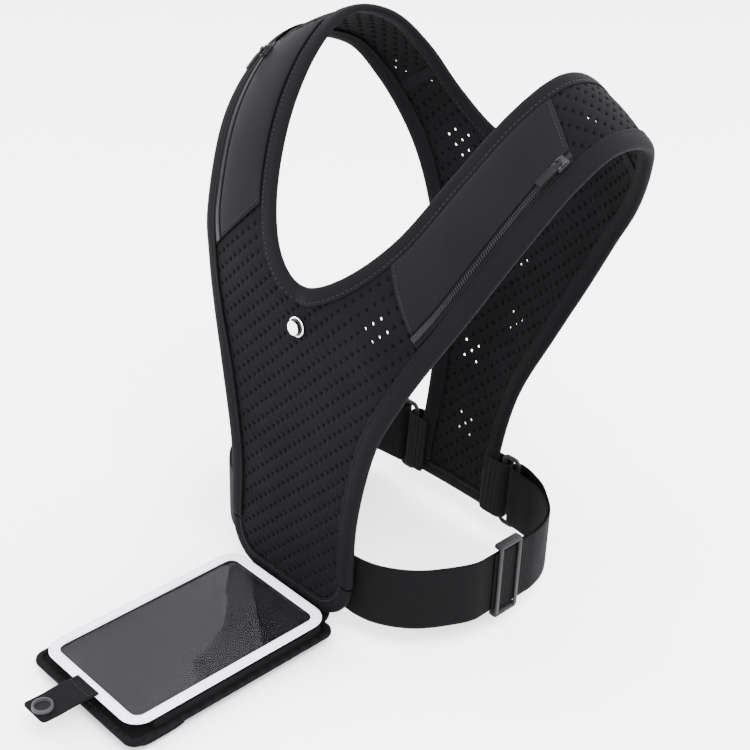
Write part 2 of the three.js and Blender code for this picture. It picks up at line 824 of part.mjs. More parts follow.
function pouchBorder() {
  const edge = pouchHalfWidth - borderInset;
  const near = pouchNear - borderNearInset;
  const far = pouchFar + borderInset;
  const shape = roundedOutline(THREE.Shape, -edge, far, edge, near, pouchPartCorner);
  const [left, right] = [borderWidth - edge, edge - borderWidth];
  shape.holes.push(
    roundedOutline(THREE.Path, left, far + borderWidth, right, near - borderWidth, borderInnerCorner),
  );
  return plate(shape, borderBottom, borderThickness);
}

function pouchRearPocket() {
  const { halfWidth, length, fromFar, depth, corner } = rearPocket;
  const far = pouchFar + fromFar;
  const near = far + length;
  const top = pouchBottom - gap;
  return roundedPlate(-halfWidth, near, halfWidth, far, corner, top - depth, depth);
}

function hingeTape() {
  const top = pouchBottom - gap;
  const edge = tongueTop.edge.x - tongueCornerRadius + hingeTapeOverlap;
  const far = pouchNear - hingeTapeLength;
  const bottom = top - hingeTapeThickness;
  return roundedPlate(-edge, pouchNear, edge, far, hingeTapeCorner, bottom, hingeTapeThickness);
}

const tabEnd = hinge.y - snapReach - tabBeyondSnap;
const foldY = pouchFar - tabFold;

function tabRoot() {
  const near = pouchFar + tabRootLength;
  const far = foldY + tabFold - gap / 2;
  const edge = tabWidth / 2;
  return roundedPlate(-edge, near, edge, far, tabRootCorner, tabBottom, tabThickness);
}

function snapTab() {
  const shape = new THREE.Shape();
  const edge = tabWidth / 2;
  const near = foldY + 0.4;
  const corner = 9;
  shape.moveTo(-edge, near);
  shape.lineTo(-edge, tabEnd + corner);
  shape.absarc(-edge + corner, tabEnd + corner, corner, Math.PI, 1.5 * Math.PI);
  shape.absarc(edge - corner, tabEnd + corner, corner, 1.5 * Math.PI, 2 * Math.PI);
  shape.lineTo(edge, near);
  return plate(shape, tabBottom, tabThickness);
}

const snapOnPouch = new THREE.Vector3(0, hinge.y - snapReach, tabBottom + tabThickness + gap);

function snapSocket() {
  const ringSolid = toSolid(drum(socketRadius, socketHeight));
  const bore = toSolid(drum(socketBore, socketHeight).translate(0, 0, boreFloor));
  return toGeometry(ringSolid.subtract(bore)).translate(...snapOnPouch.toArray());
}

function socketCap() {
  return drum(capRadius, capThickness).translate(0, snapOnPouch.y, tabBottom - gap - capThickness);
}

// The chest leans back a little, and the snap's stud stands square on it.
function chestLean() {
  const low = innerPoint(neckStart - 1);
  const rise = innerPoint(neckStart).sub(low);
  return Math.atan2(rise.y, rise.z);
}

const lean = chestLean();
const studNormal = new THREE.Vector3(0, -Math.cos(lean), Math.sin(lean));

function studPoint(offset) {
  const z = hinge.z + snapReach * Math.cos(lean);
  const top = innerPoint(neckStart);
  const y = top.y - Math.tan(lean) * (top.z - z);
  return new THREE.Vector3(0, y, z).addScaledVector(studNormal, offset);
}

function snapStud() {
  const post = drum(studPostRadius, postHeight).translate(0, 0, studHeight - postHeight);
  const parts = [drum(studBaseRadius, studBaseThickness), drum(studStemRadius, studHeight - postSink), post];
  const solid = parts.map(toSolid).reduce((all, part) => all.add(part));
  return stoodOn(toGeometry(solid), studPoint(half + gap), studNormal);
}

function studCap() {
  return stoodOn(drum(capRadius, capThickness), studPoint(-half - gap - capThickness), studNormal);
}

// The zip's middle line: a place and its frame at a share of its length, from the lower end.
function zipPlace(share, lift) {
  const inner = lerp(chestSeamAbove.inner, pocketTop.inner, share);
  const edge = lerp(chestSeamAbove.edge, pocketTop.edge, share);
  const at = (value, shift) => {
    const length = ribLength((inner + edge) / 2 + shift);
    const w = 1 - (zipOuter + zipWidth / 2) / length;
    return { t: lerp(inner, edge, w) + shift, w: value + w };
  };
  const here = at(0, 0);
  const before = at(0, -ribStep);
  const after = at(0, ribStep);
  const along = sheetMiddle(after.t, after.w).sub(sheetMiddle(before.t, before.w)).normalize();
  const across = sheetMiddle(here.t, here.w + ribStep).sub(sheetMiddle(here.t, here.w - ribStep));
  const normal = across.cross(along).normalize();
  const point = sheetMiddle(here.t, here.w).addScaledVector(normal, lift);
  return { point, along, normal, across: along.clone().cross(normal) };
}

const sliderBottom = half + gap + zipThickness + zipSliderLift;
const pullAxisLift = zipSlider.height + pullAxisRise;

// Parts of the zip's slider are built with x across the zip, y up along it and z out of the sheet.
function onZip(geometry) {
  const { point, along, normal, across } = zipPlace(zipSliderRest, sliderBottom);
  const basis = new THREE.Matrix4().makeBasis(across, along, normal).setPosition(point);
  return geometry.applyMatrix4(basis);
}

function zipSliderBody() {
  const { length, width, height, earHeight, earThickness } = zipSlider;
  const body = new THREE.BoxGeometry(width, length, height).translate(0, 0, height / 2);
  const earX = (zipPull.neck + earThickness) / 2 + earClearance;
  const ear = new THREE.BoxGeometry(earThickness, earLength, earHeight + earSink);
  const earZ = height + (earHeight - earSink) / 2;
  const solid = toSolid(body)
    .add(toSolid(ear.clone().translate(earX, 0, earZ)))
    .add(toSolid(ear.clone().translate(-earX, 0, earZ)));
  return onZip(toGeometry(solid));
}

function zipPullTab() {
  const { length, width, neck, thickness } = zipPull;
  const shape = new THREE.Shape();
  shape.moveTo(neck / 2, pullEndReach);
  shape.lineTo(-neck / 2, pullEndReach);
  shape.lineTo(-neck / 2, pullFlareStart);
  shape.lineTo(-width / 2, pullFlareEnd);
  shape.absarc(0, width / 2 - length, width / 2, Math.PI, 2 * Math.PI);
  shape.lineTo(width / 2, pullFlareEnd);
  shape.lineTo(neck / 2, pullFlareStart);
  return onZip(plate(shape, pullAxisLift - thickness / 2, thickness));
}

const material = (color, roughness, metalness) =>
  new THREE.MeshStandardMaterial({ color, roughness, metalness });
const neoprene = material(0x26262a, 0.85, 0);
const bindingTape = material(0x303034, 0.8, 0);
const lycra = material(0x3a3a3e, 0.6, 0);
const webbing = material(0x1e1e20, 0.9, 0);
const plastic = material(0x18181a, 0.45, 0);
const chrome = material(0xd0d0d4, 0.15, 1);
const reflective = material(0xe4e2ea, 0.5, 0);
const film = material(0xe8eef0, 0.05, 0);
const zipMetal = material(0x3c3c40, 0.4, 0.8);

const vest = new THREE.Group();

function place(name, geometry, finish) {
  const mesh = new THREE.Mesh(bare(geometry), finish);
  mesh.name = name;
  vest.add(mesh);
}

function placePair(name, geometry, finish) {
  place("left_" + name, geometry, finish);
  place("right_" + name, mirrored(geometry), finish);
}

place("chest_panel", clearOfBindings(chestPanel()), neoprene);
placePair("shoulder_strap", shoulderStrap(), neoprene);
place("back_panel", clearOfBindings(backPanel()), neoprene);
placePair("strap_pocket", overlay(pocketColumns, pocketThickness), lycra);
placePair("zip_chain", overlay(zipColumns, zipThickness), zipMetal);
placePair("armhole_binding", armholeBinding(), bindingTape);
place("neck_binding", neckBinding(), bindingTape);
place("tongue_hem", tongueHem(), bindingTape);
place("back_hem", backHem(), bindingTape);
place("snap_stud", snapStud(), chrome);
place("stud_cap", studCap(), chrome);
place("belt_anchor", beltAnchor(), webbing);
placePair("belt", belt(), webbing);
placePair("ring", ring(), plastic);
placePair("ring_loop", ringLoop(), webbing);
placePair("belt_slider", beltSlider(), plastic);
placePair("zip_slider", zipSliderBody(), zipMetal);
placePair("zip_pull", zipPullTab(), plastic);
place("pouch_back", pouchBack(), neoprene);
place("pouch_window", pouchWindow(), film);
place("pouch_border", pouchBorder(), reflective);
place("pouch_rear_pocket", pouchRearPocket(), lycra);
place("hinge_tape", hingeTape(), bindingTape);
place("tab_root", tabRoot(), webbing);
place("snap_tab", snapTab(), webbing);
place("snap_socket", snapSocket(), plastic);
place("socket_cap", socketCap(), plastic);

export default vest;
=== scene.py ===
# %% [markdown]
# # A running vest with a flip-down phone pouch
#
# The vest is a chest and back harness cut from perforated neoprene, edged with folded tape, with a
# smooth zipped pocket on each shoulder strap, an elastic belt, and a phone pouch that folds down
# from the bottom of the chest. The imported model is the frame: each piece here rides on one of its
# bodies. Everything is in metres, the wearer faces -Y, and the origin is between the shoulders.

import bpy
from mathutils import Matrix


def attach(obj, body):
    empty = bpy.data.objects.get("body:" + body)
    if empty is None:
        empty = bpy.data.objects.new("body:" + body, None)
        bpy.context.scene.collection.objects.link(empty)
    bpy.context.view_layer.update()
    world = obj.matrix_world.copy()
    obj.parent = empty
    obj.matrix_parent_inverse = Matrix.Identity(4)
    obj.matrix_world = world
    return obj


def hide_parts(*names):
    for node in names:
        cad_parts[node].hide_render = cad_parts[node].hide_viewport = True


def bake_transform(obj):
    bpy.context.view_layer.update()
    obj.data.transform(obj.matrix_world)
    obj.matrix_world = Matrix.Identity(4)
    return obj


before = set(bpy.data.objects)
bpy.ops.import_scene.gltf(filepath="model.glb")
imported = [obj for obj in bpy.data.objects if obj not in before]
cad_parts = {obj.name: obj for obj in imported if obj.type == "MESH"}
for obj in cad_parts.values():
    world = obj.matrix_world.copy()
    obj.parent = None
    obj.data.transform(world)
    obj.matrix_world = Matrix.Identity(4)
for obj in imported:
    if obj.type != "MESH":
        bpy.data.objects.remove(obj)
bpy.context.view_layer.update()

# %% Libraries
import math

import bmesh
import bpy
from mathutils import Matrix, Vector
from mathutils.bvhtree import BVHTree

mm = 0.001
sides = ("left", "right")

# %% [markdown]
# ## The vest's lines
#
# A sewn vest is drawn as a few edge lines with cloth between them. Ribs run across the left half
# from the middle, or from the neck edge, to the armhole. Smooth lines through the ribs' ends are
# the edges, and a point of the cloth is a parameter t along the vest and a share w of a rib.

# %% The ribs, from the bottom of the chest over the shoulder to the bottom of the back
shoulder, chest, front, back = 0.146, 0.351, 0.146, 0.085
chest_ribs = [
    ((0, -0.99, -0.912), (0.425, -0.979, -0.912)),
    ((0, -0.97, -0.76), (0.429, -0.97, -0.76)),
    ((0, -0.947, -0.56), (0.51, -0.955, -0.59)),
]
strap_ribs = [
    ((0, -0.925, -0.334), (0.612, -0.912, -0.483)),
    ((0.201, -0.876, -0.297), (0.716, -0.855, -0.392)),
    ((0.381, -0.736, -0.214), (0.814, -0.782, -0.309)),
    ((0.503, -0.543, -0.099), (0.935, -0.594, -0.174)),
    ((0.577, -0.311, -0.001), (0.987, -0.375, -0.084)),
    ((0.609, -0.073, 0.047), (0.997, -0.129, -0.039)),
    ((0.581, 0.284, 0.023), (0.94, 0.308, -0.068)),
    ((0.536, 0.634, -0.054), (0.851, 0.558, -0.144)),
    ((0.439, 0.855, -0.144), (0.737, 0.722, -0.243)),
    ((0.251, 0.965, -0.213), (0.625, 0.762, -0.332)),
    ((0, 1, -0.237), (0.513, 0.738, -0.44)),
]
back_ribs = [
    ((0, 0.93, -0.44), (0.398, 0.622, -0.562)),
    ((0, 0.68, -0.63), (0.284, 0.427, -0.711)),
    ((0, 0.36, -0.84), (0.26, 0.3, -0.871)),
    ((0, 0.294, -0.98), (0.281, 0.286, -0.98)),
]


def sized(share):
    x, y, z = share
    return Vector((x * shoulder, y * (front if y < 0 else back), z * chest))


def flip(point):
    return Vector((-point.x, point.y, point.z))


neck_start = len(chest_ribs)
neck_end = neck_start + len(strap_ribs) - 1
last_rib = neck_end + len(back_ribs)
print("ribs:", last_rib + 1)


# %% Smooth lines through the ribs' ends
def spline(points, closed=False):
    """A line through points at whole numbers, as a function of its parameter."""
    count = len(points)

    def corner(i):
        if closed:
            return points[i % count]
        if i < 0:
            return points[0] * 2 - points[1]
        if i >= count:
            return points[-1] * 2 - points[-2]
        return points[i]

    def at(u):
        if not closed:
            u = min(max(u, 0), count - 1)
        i = min(math.floor(u), count - 2) if not closed else math.floor(u)
        s = u - i
        a, b, c, d = (corner(i + k) for k in (-1, 0, 1, 2))
        bend = (a * 2 - b * 5 + c * 4 - d) * s * s
        twist = (b * 3 - a - c * 3 + d) * s * s * s
        return (b * 2 + (c - a) * s + bend + twist) / 2

    return at


neck_points = [sized(rib[0]) for rib in strap_ribs]
neck_line = spline(neck_points + [flip(p) for p in neck_points[-2:0:-1]], closed=True)
chest_line = spline([sized(rib[0]) for rib in chest_ribs] + [neck_points[0]])
back_line = spline([neck_points[-1]] + [sized(rib[0]) for rib in back_ribs])
edge_at = spline([sized(rib[1]) for rib in chest_ribs + strap_ribs + back_ribs])


def inner_at(t):
    if t <= neck_start:
        return chest_line(t)
    if t < neck_end:
        return neck_line(t - neck_start)
    return back_line(t - neck_end)


def rib_length(t):
    return (edge_at(t) - inner_at(t)).length


print("strap width in mm:", round(rib_length(8) / mm))


# %% The middle of the cloth, and its normal
tongue_corner = 31 * mm
crown_height = 3 * mm
step = 0.02


def lerp(a, b, share):
    return a + (b - a) * share


def smooth(value, low, high):
    share = min(max((value - low) / (high - low), 0), 1)
    return share * share * (3 - 2 * share)


def arch_share(t):
    return 1 - smooth(min(t - neck_start, neck_end - t), 0, 2)


def rib_normal(t):
    reach = 0.05
    along = inner_at(t + reach) + edge_at(t + reach) - inner_at(t - reach) - edge_at(t - reach)
    return (edge_at(t) - inner_at(t)).cross(along).normalized()


def tongue(x, z):
    low, high = inner_at(0), inner_at(0.3)
    lean = (high.y - low.y) / (high.z - low.z)
    arch = (edge_at(0).y - low.y) * (x / edge_at(0).x) ** 2
    return Vector((x, low.y + lean * (z - low.z) + arch, z))


def tongue_edge(angle):
    turn = edge_at(0).x - tongue_corner
    z = edge_at(0).z - tongue_corner * math.sin(angle)
    return tongue(turn + tongue_corner * math.cos(angle), z)


def middle(t, w):
    """The middle of the sheet. Below t = 0 it is the rounded tongue."""
    if t < 0:
        corner = tongue_edge(-t * math.pi / 2)
        return tongue(corner.x * w, corner.z)
    inner = inner_at(t)
    across = edge_at(t) - inner
    point = inner + across * w
    arch = arch_share(t)
    point.y += arch * (w * w - w) * across.y
    point.z += arch * (w * w - w) * across.z
    if arch < 1:
        point += rib_normal(t) * crown_height * (1 - arch) * 4 * w * (1 - w)
    return point


def neck_middle_share(t):
    into = min(t - neck_start, neck_end - t)
    return 0 if into < 0 else 1 - smooth(into, 0, 1.2)


def cloth_normal(t, w):
    w = max(w, neck_middle_share(t) / 4)
    across = middle(t, min(w + step, 1)) - middle(t, max(w - step, 0))
    along = middle(min(t + step, last_rib), w) - middle(t - step, w)
    return across.cross(along).normalized()


print("stud height on the chest:", round(middle(2.6, 0).z, 3))

# %% [markdown]
# ## Shader maths as plain expressions
#
# A finish is easier to read as arithmetic than as a web of nodes. The class wraps a socket, and
# its operators add Math nodes. Any other node comes from one method that takes its type, its
# settings and its inputs.


# %% A wrapped socket
class Value:
    def __init__(self, finish, socket):
        self.finish, self.socket = finish, socket

    def maths(self, operation, *others):
        values = dict(enumerate([self, *others]))
        return self.finish.node("ShaderNodeMath", {"operation": operation}, values)

    def __add__(self, other):
        return self.maths("ADD", other)

    def __mul__(self, other):
        return self.maths("MULTIPLY", other)

    __radd__, __rmul__ = __add__, __mul__

    def sine(self):
        return self.maths("SINE")


# %% A finish, with its nodes
class Finish:
    def __init__(self, name, **constants):
        self.material = bpy.data.materials.new(name)
        self.material.use_nodes = True
        self.tree = self.material.node_tree
        self.shader = self.tree.nodes["Principled BSDF"]
        for socket, value in constants.items():
            self.shader.inputs[socket.replace("_", " ")].default_value = value

    def node(self, kind, settings, inputs, output=0):
        made = self.tree.nodes.new(kind)
        for key, value in settings.items():
            setattr(made, key, value)
        for key, value in inputs.items():
            self.feed(made.inputs[key], value)
        return Value(self, made.outputs[output])

    def feed(self, socket, value):
        if isinstance(value, Value):
            self.tree.links.new(value.socket, socket)
        else:
            socket.default_value = value

    def coordinates(self, output):
        return self.node("ShaderNodeTexCoord", {}, {}, output)

    def parts(self, vector):
        split = self.tree.nodes.new("ShaderNodeSeparateXYZ")
        self.feed(split.inputs[0], vector)
        return [Value(self, socket) for socket in split.outputs]

    def noise(self, vector, scale, detail=3.0):
        inputs = {"Vector": vector, "Scale": scale, "Detail": detail}
        return self.node("ShaderNodeTexNoise", {}, inputs)

    def cells(self, vector, scale):
        inputs = {"Vector": vector, "Scale": scale}
        return self.node("ShaderNodeTexVoronoi", {}, inputs, "Distance")

    def colour_mix(self, factor, a, b):
        inputs = {"Factor": factor, 6: (*a, 1), 7: (*b, 1)}
        return self.node("ShaderNodeMix", {"data_type": "RGBA"}, inputs, 2)

    def bump(self, height, strength, distance):
        inputs = {"Strength": strength, "Distance": distance, "Height": height}
        self.feed(self.shader.inputs["Normal"], self.node("ShaderNodeBump", {}, inputs))

    def colour(self, value):
        self.feed(self.shader.inputs["Base Color"], value)

    def roughness(self, value):
        self.feed(self.shader.inputs["Roughness"], value)


# %% [markdown]
# ## Finishes
#
# Every cloth on the vest is black, so what tells them apart is how they are made: a brushed knit
# with fine pile, a ribbed elastic tape, a smooth stretch knit with a sheen, and a coarse woven
# belt. Each has its own small relief at its own scale.


# %% Neoprene: a fine knit face, a little lighter where it is rubbed
def knit_finish(name, dark, light, grain, relief):
    finish = Finish(name, Sheen_Weight=0.004, Sheen_Roughness=0.5, Specular_IOR_Level=0.025)
    place = finish.coordinates("Object")
    cloudy = finish.noise(place, 28.0, 4.0)
    pile = finish.noise(place, 2600.0, 2.0)
    loops = finish.cells(place, grain)
    finish.colour(finish.colour_mix(cloudy * 0.6 + pile * 0.4, dark, light))
    finish.roughness(0.7 + pile * 0.25)
    finish.bump(loops * 0.7 + pile * 0.3, 0.5, relief)
    return finish.material


neoprene = knit_finish(
    "neoprene", (0.0008, 0.0008, 0.0009), (0.0045, 0.0045, 0.005), 1500.0, 0.2 * mm
)
lining = knit_finish(
    "lining", (0.0008, 0.0008, 0.0008), (0.0035, 0.0035, 0.004), 1100.0, 0.15 * mm
)
print(neoprene.name, lining.name)


# %% Tapes: ribs along or across a strip, from the strip's own map in metres
def tape_finish(name, dark, light, rib, pick, relief):
    finish = Finish(name, Sheen_Weight=0.004, Sheen_Roughness=0.4, Specular_IOR_Level=0.03)
    along, across, _ = finish.parts(finish.coordinates("UV"))
    ribs = (along * (2 * math.pi / rib)).sine() * 0.5 + 0.5
    picks = (across * (2 * math.pi / pick)).sine() * 0.5 + 0.5
    weave = ribs * 0.6 + ribs * picks * 0.4
    worn = finish.noise(finish.coordinates("Object"), 45.0, 4.0)
    finish.colour(finish.colour_mix(weave * 0.5 + worn * 0.5, dark, light))
    finish.roughness(0.62 + worn * 0.25)
    finish.bump(weave, 0.6, relief)
    return finish.material


binding_tape = tape_finish(
    "binding_tape", (0.0012, 0.0012, 0.0014), (0.0045, 0.0045, 0.005),
    0.9 * mm, 1.3 * mm, 0.12 * mm,
)
elastic = tape_finish(
    "elastic", (0.0006, 0.0006, 0.0007), (0.0035, 0.0035, 0.0038), 1.5 * mm, 2.1 * mm, 0.3 * mm
)
webbing = tape_finish(
    "webbing", (0.001, 0.001, 0.0011), (0.006, 0.006, 0.0065), 1.8 * mm, 1.8 * mm, 0.4 * mm
)
zip_tape = tape_finish(
    "zip_tape", (0.0015, 0.0015, 0.0015), (0.005, 0.005, 0.0055), 0.8 * mm, 0.8 * mm, 0.15 * mm
)


# %% Stretch knit on the pockets: close, smooth and slightly glossy
def stretch_finish():
    finish = Finish(
        "stretch_knit", Sheen_Weight=0.004, Sheen_Roughness=0.3, Specular_IOR_Level=0.035
    )
    along, across, _ = finish.parts(finish.coordinates("UV"))
    courses = (along * (2 * math.pi / (0.7 * mm))).sine() * 0.5 + 0.5
    wales = (across * (2 * math.pi / (0.8 * mm))).sine() * 0.5 + 0.5
    broad = finish.noise(finish.coordinates("Object"), 18.0, 3.0)
    dark, light = (0.0012, 0.0012, 0.0014), (0.0045, 0.0045, 0.005)
    finish.colour(finish.colour_mix(broad * 0.7 + wales * 0.3, dark, light))
    finish.roughness(0.5 + broad * 0.2)
    finish.bump(courses * wales, 0.35, 0.1 * mm)
    return finish.material


stretch = stretch_finish()


# %% Hard finishes
def moulded_finish(name, dark, light, rough, **constants):
    finish = Finish(name, **constants)
    place = finish.coordinates("Object")
    broad = finish.noise(place, 60.0, 4.0)
    grain = finish.noise(place, 1800.0, 2.0)
    finish.colour(finish.colour_mix(broad, dark, light))
    finish.roughness(rough + broad * 0.15)
    finish.bump(grain, 0.25, 0.08 * mm)
    return finish.material


buckle = moulded_finish(
    "buckle_plastic", (0.003, 0.003, 0.003), (0.008, 0.008, 0.009), 0.4, Specular_IOR_Level=0.1
)
thread = moulded_finish(
    "thread", (0.003, 0.003, 0.003), (0.01, 0.01, 0.011), 0.55, Specular_IOR_Level=0.1
)
pale_thread = moulded_finish("pale_thread", (0.45, 0.45, 0.47), (0.62, 0.62, 0.64), 0.5)
zip_coil = moulded_finish(
    "zip_coil", (0.002, 0.002, 0.002), (0.005, 0.005, 0.006), 0.4, Specular_IOR_Level=0.12
)
zip_paint = moulded_finish(
    "zip_paint", (0.004, 0.004, 0.0045), (0.012, 0.012, 0.013), 0.35,
    Metallic=0.3, Specular_IOR_Level=0.15,
)
rubber = moulded_finish(
    "pull_rubber", (0.002, 0.002, 0.002), (0.006, 0.006, 0.007), 0.5, Specular_IOR_Level=0.06
)
chrome = moulded_finish("chrome", (0.7, 0.7, 0.72), (0.86, 0.86, 0.88), 0.06, Metallic=1.0)
# Near-black metal for the stud's neck: a painted shadow between the stud's cap and its base ring.
painted_shadow_steel = moulded_finish(
    "painted_shadow_steel", (0.01, 0.01, 0.01), (0.03, 0.03, 0.03), 0.3, Metallic=0.9
)
socket_grey = moulded_finish(
    "socket_plastic", (0.01, 0.01, 0.011), (0.03, 0.03, 0.032), 0.4, Specular_IOR_Level=0.15
)


# %% The light border: a coated tape with a fine honeycomb under its face
def border_finish():
    finish = Finish("reflective_tape", Coat_Weight=0.5, Coat_Roughness=0.12, Sheen_Weight=0.1)
    place = finish.coordinates("Object")
    comb = finish.cells(place, 700.0)
    broad = finish.noise(place, 40.0, 3.0)
    dark, light = (0.5, 0.49, 0.55), (0.72, 0.7, 0.77)
    finish.colour(finish.colour_mix(comb * 0.6 + broad * 0.5, dark, light))
    finish.roughness(0.3 + comb * 0.2)
    finish.bump(comb, 0.3, 0.1 * mm)
    return finish.material


reflective = border_finish()


# %% Clear film: mostly see-through, with broad soft ripples that catch the light
def film_finish():
    finish = Finish("clear_film", Alpha=0.12, IOR=1.45, Coat_Weight=0.3, Coat_Roughness=0.03)
    place = finish.coordinates("Object")
    ripple = finish.noise(place, 16.0, 2.0)
    finish.colour(finish.colour_mix(ripple, (0.01, 0.01, 0.011), (0.03, 0.03, 0.032)))
    finish.roughness(0.04 + ripple * 0.06)
    finish.bump(ripple, 0.25, 1.5 * mm)
    return finish.material


film = film_finish()
print("finishes:", len(bpy.data.materials))


# %% [markdown]
# ## Making pieces
#
# A strip or a panel starts as a flat grid whose corners are then moved onto the vest's surface.
# Modifiers give it thickness and soften it. One helper turns a finished bmesh into a piece that
# rides on a body and stands for its CAD nodes.


# %% From bmesh to a piece
def piece(name, bm, body, nodes, slot, *finishes):
    mesh = bpy.data.meshes.new(name)
    bm.to_mesh(mesh)
    bm.free()
    mesh.shade_smooth()
    thing = bpy.data.objects.new(name, mesh)
    bpy.context.scene.collection.objects.link(thing)
    for finish in finishes:
        mesh.materials.append(finish)
    if body:
        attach(thing, body)
    if nodes:
        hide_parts(*nodes)
    return thing


def thicken(thing, thickness, offset=0.0):
    made = thing.modifiers.new("thickness", "SOLIDIFY")
    made.thickness, made.offset, made.use_even_offset = thickness, offset, True


def soften(thing, levels=1):
    made = thing.modifiers.new("soften", "SUBSURF")
    made.levels = made.render_levels = levels


def new_grid(columns, rows):
    """A flat grid from 0 to 1 both ways."""
    bm = bmesh.new()
    bmesh.ops.create_grid(bm, x_segments=columns, y_segments=rows, size=0.5)
    return shift(bm, (0.5, 0.5, 0))


def lay(bm, place, length, width):
    """Moves a 0 to 1 grid with place(u, v), and keeps a map of it in metres."""
    layer = bm.loops.layers.uv.new("strip")
    for face in bm.faces:
        for loop in face.loops:
            loop[layer].uv = (loop.vert.co.x * length, loop.vert.co.y * width)
    for vert in bm.verts:
        vert.co = place(vert.co.x, vert.co.y)
    return bm


def weld(bm):
    bmesh.ops.remove_doubles(bm, verts=bm.verts, dist=0.02 * mm)
    return bm


def shift(bm, away):
    bmesh.ops.translate(bm, verts=bm.verts, vec=away)
    return bm


def axes_at(point, *axes):
    return Matrix.Translation(point) @ Matrix(axes).transposed().to_4x4()


def brick(bm, place, size):
    bmesh.ops.create_cube(bm, size=1, matrix=place @ Matrix.Diagonal((*size, 1)))


def face_out(bm):
    bmesh.ops.recalc_face_normals(bm, faces=bm.faces)
    return bm


def everything_in(bm):
    return bm.verts[:] + bm.edges[:] + bm.faces[:]


def trim(bm, point, away):
    """Cuts off what lies past a plane."""
    bmesh.ops.bisect_plane(
        bm, geom=everything_in(bm), plane_co=point, plane_no=away, clear_outer=True
    )


def flip_x(bm):
    """Turns a left piece into a right one."""
    bmesh.ops.scale(bm, verts=bm.verts, vec=(-1, 1, 1))
    bmesh.ops.reverse_faces(bm, faces=bm.faces)
    return bm


def sided(side, name, bm, *rest):
    """A piece drawn on the left, or its mirror image on the right."""
    return piece(side + name, flip_x(bm) if side == "right" else bm, *rest)


# %% [markdown]
# ## Perforated cloth
#
# The neoprene is punched with small round holes in slanting rows. They are real holes: each face
# of a grid is inset, its middle is squared and removed, and the grid is turned by an eighth. A
# thin knit core closes most of them half way through, and only a few small clusters are open
# right through. The chest and the back are draped by dropping the pattern on a smooth copy of the
# surface, and the straps by rolling it along their length.

# %% A sheet of holes
row_pitch, hole_pitch = 9.2 * mm, 6.4 * mm
hole_half, core_half = 0.88 * mm, 1.6 * mm
slant = math.radians(45)
cluster_pitch, cluster_radius = 46 * mm, 10 * mm


def in_cluster(centre):
    """Holes that go right through stand in a few small clusters."""
    row = math.floor(centre.y / cluster_pitch)
    x = (centre.x + 0.5 * cluster_pitch * (row % 2)) % cluster_pitch - cluster_pitch / 2
    y = centre.y % cluster_pitch - cluster_pitch / 2
    return math.hypot(x, y) < cluster_radius


def punched_sheet(width, height, core=False):
    reach = (width + height) * math.sqrt(0.5)
    columns, rows = math.ceil(reach / hole_pitch), math.ceil(reach / row_pitch)
    bm = bmesh.new()
    bmesh.ops.create_grid(bm, x_segments=columns, y_segments=rows, size=0.5)
    stretch_to = (columns * hole_pitch, rows * row_pitch, 1)
    bmesh.ops.scale(bm, verts=bm.verts, vec=stretch_to)
    cells = bm.faces[:]
    bmesh.ops.inset_individual(bm, faces=cells, thickness=1.5 * mm)
    for cell in cells:
        centre = cell.calc_center_median()
        half = core_half if core else hole_half
        for vert in cell.verts:
            away = vert.co - centre
            corner = (math.copysign(half, away.x), math.copysign(half, away.y), 0)
            vert.co = centre + Vector(corner)
    open_cells = [c for c in cells if in_cluster(c.calc_center_median())] if core else cells
    bmesh.ops.delete(bm, geom=open_cells, context="FACES")
    bmesh.ops.rotate(bm, verts=bm.verts, matrix=Matrix.Rotation(slant, 3, "Z"))
    for away in (Vector((1, 0, 0)), Vector((0, 1, 0))):
        for sign in (1, -1):
            trim(bm, away * sign * (width * away.x + height * away.y) / 2, away * sign)
    return bm


def drape(bm, surface, side):
    """Drops a sheet in x and y onto a surface, looking along side * y, with y standing for z."""
    missed = []
    for vert in bm.verts:
        start = Vector((vert.co.x, -side * 0.5, vert.co.y))
        hit = surface.ray_cast(start, Vector((0, side, 0)))[0]
        if hit is None:
            missed.append(vert)
        else:
            vert.co = hit
    bmesh.ops.delete(bm, geom=missed, context="VERTS")
    return bm


def surface_of(first, last, rows):
    """A smooth surface of both halves, from t = first[0] at the middle and first[0] + first[1] at
    the armhole to the same of last."""
    bm = new_grid(24, rows)
    for vert in bm.verts:
        u, v, _ = vert.co
        vert.co = middle(lerp(first[0], last[0], v) + u * lerp(first[1], last[1], v), u)
    bmesh.ops.mirror(bm, geom=everything_in(bm), axis="X", merge_dist=1e-5)
    return BVHTree.FromBMesh(bm)


# %% Cloth with holes, and the core inside it
def face_to(bm, direction):
    for face in bm.faces:
        if face.normal.dot(direction) < 0:
            face.normal_flip()
    return bm


def cloth_and_core(name, make, nodes, finish, core_finish):
    cloth = piece(name + "_cloth", make(False), "vest", nodes, "neoprene", finish)
    thicken(cloth, 2.9 * mm)
    soften(cloth)
    core = piece(name + "_core", make(True), "vest", [], "neoprene", core_finish)
    thicken(core, 0.4 * mm)
    return cloth, core


# %% The chest panel and the back panel
def draped_panel(name, surface, size, centre_z, side):
    def make(core):
        bm = punched_sheet(*size, core)
        bm = drape(shift(bm, (0, centre_z, 0)), surface, side)
        bm.normal_update()
        return face_to(bm, Vector((0, -side, 0)))

    return cloth_and_core(name, make, [name], neoprene, lining)


chest_surface = surface_of((-1, 0), (5.35, -0.85), 90)
chest_cloth, chest_core = draped_panel("chest_panel", chest_surface, (0.27, 0.28), -0.222, 1)
back_surface = surface_of((10.2, 0), (17, 0), 70)
back_cloth, back_core = draped_panel("back_panel", back_surface, (0.25, 0.32), -0.19, -1)
face_counts = [len(cloth.data.polygons) for cloth in (chest_cloth, back_cloth)]
print("faces in the chest and the back:", *face_counts)


# %% Shoulder straps: the same sheet, rolled along the strap
def strap_place(s, w):
    return lerp(lerp(5.1, 10.6, s), lerp(4.3, 10.6, s), w), w


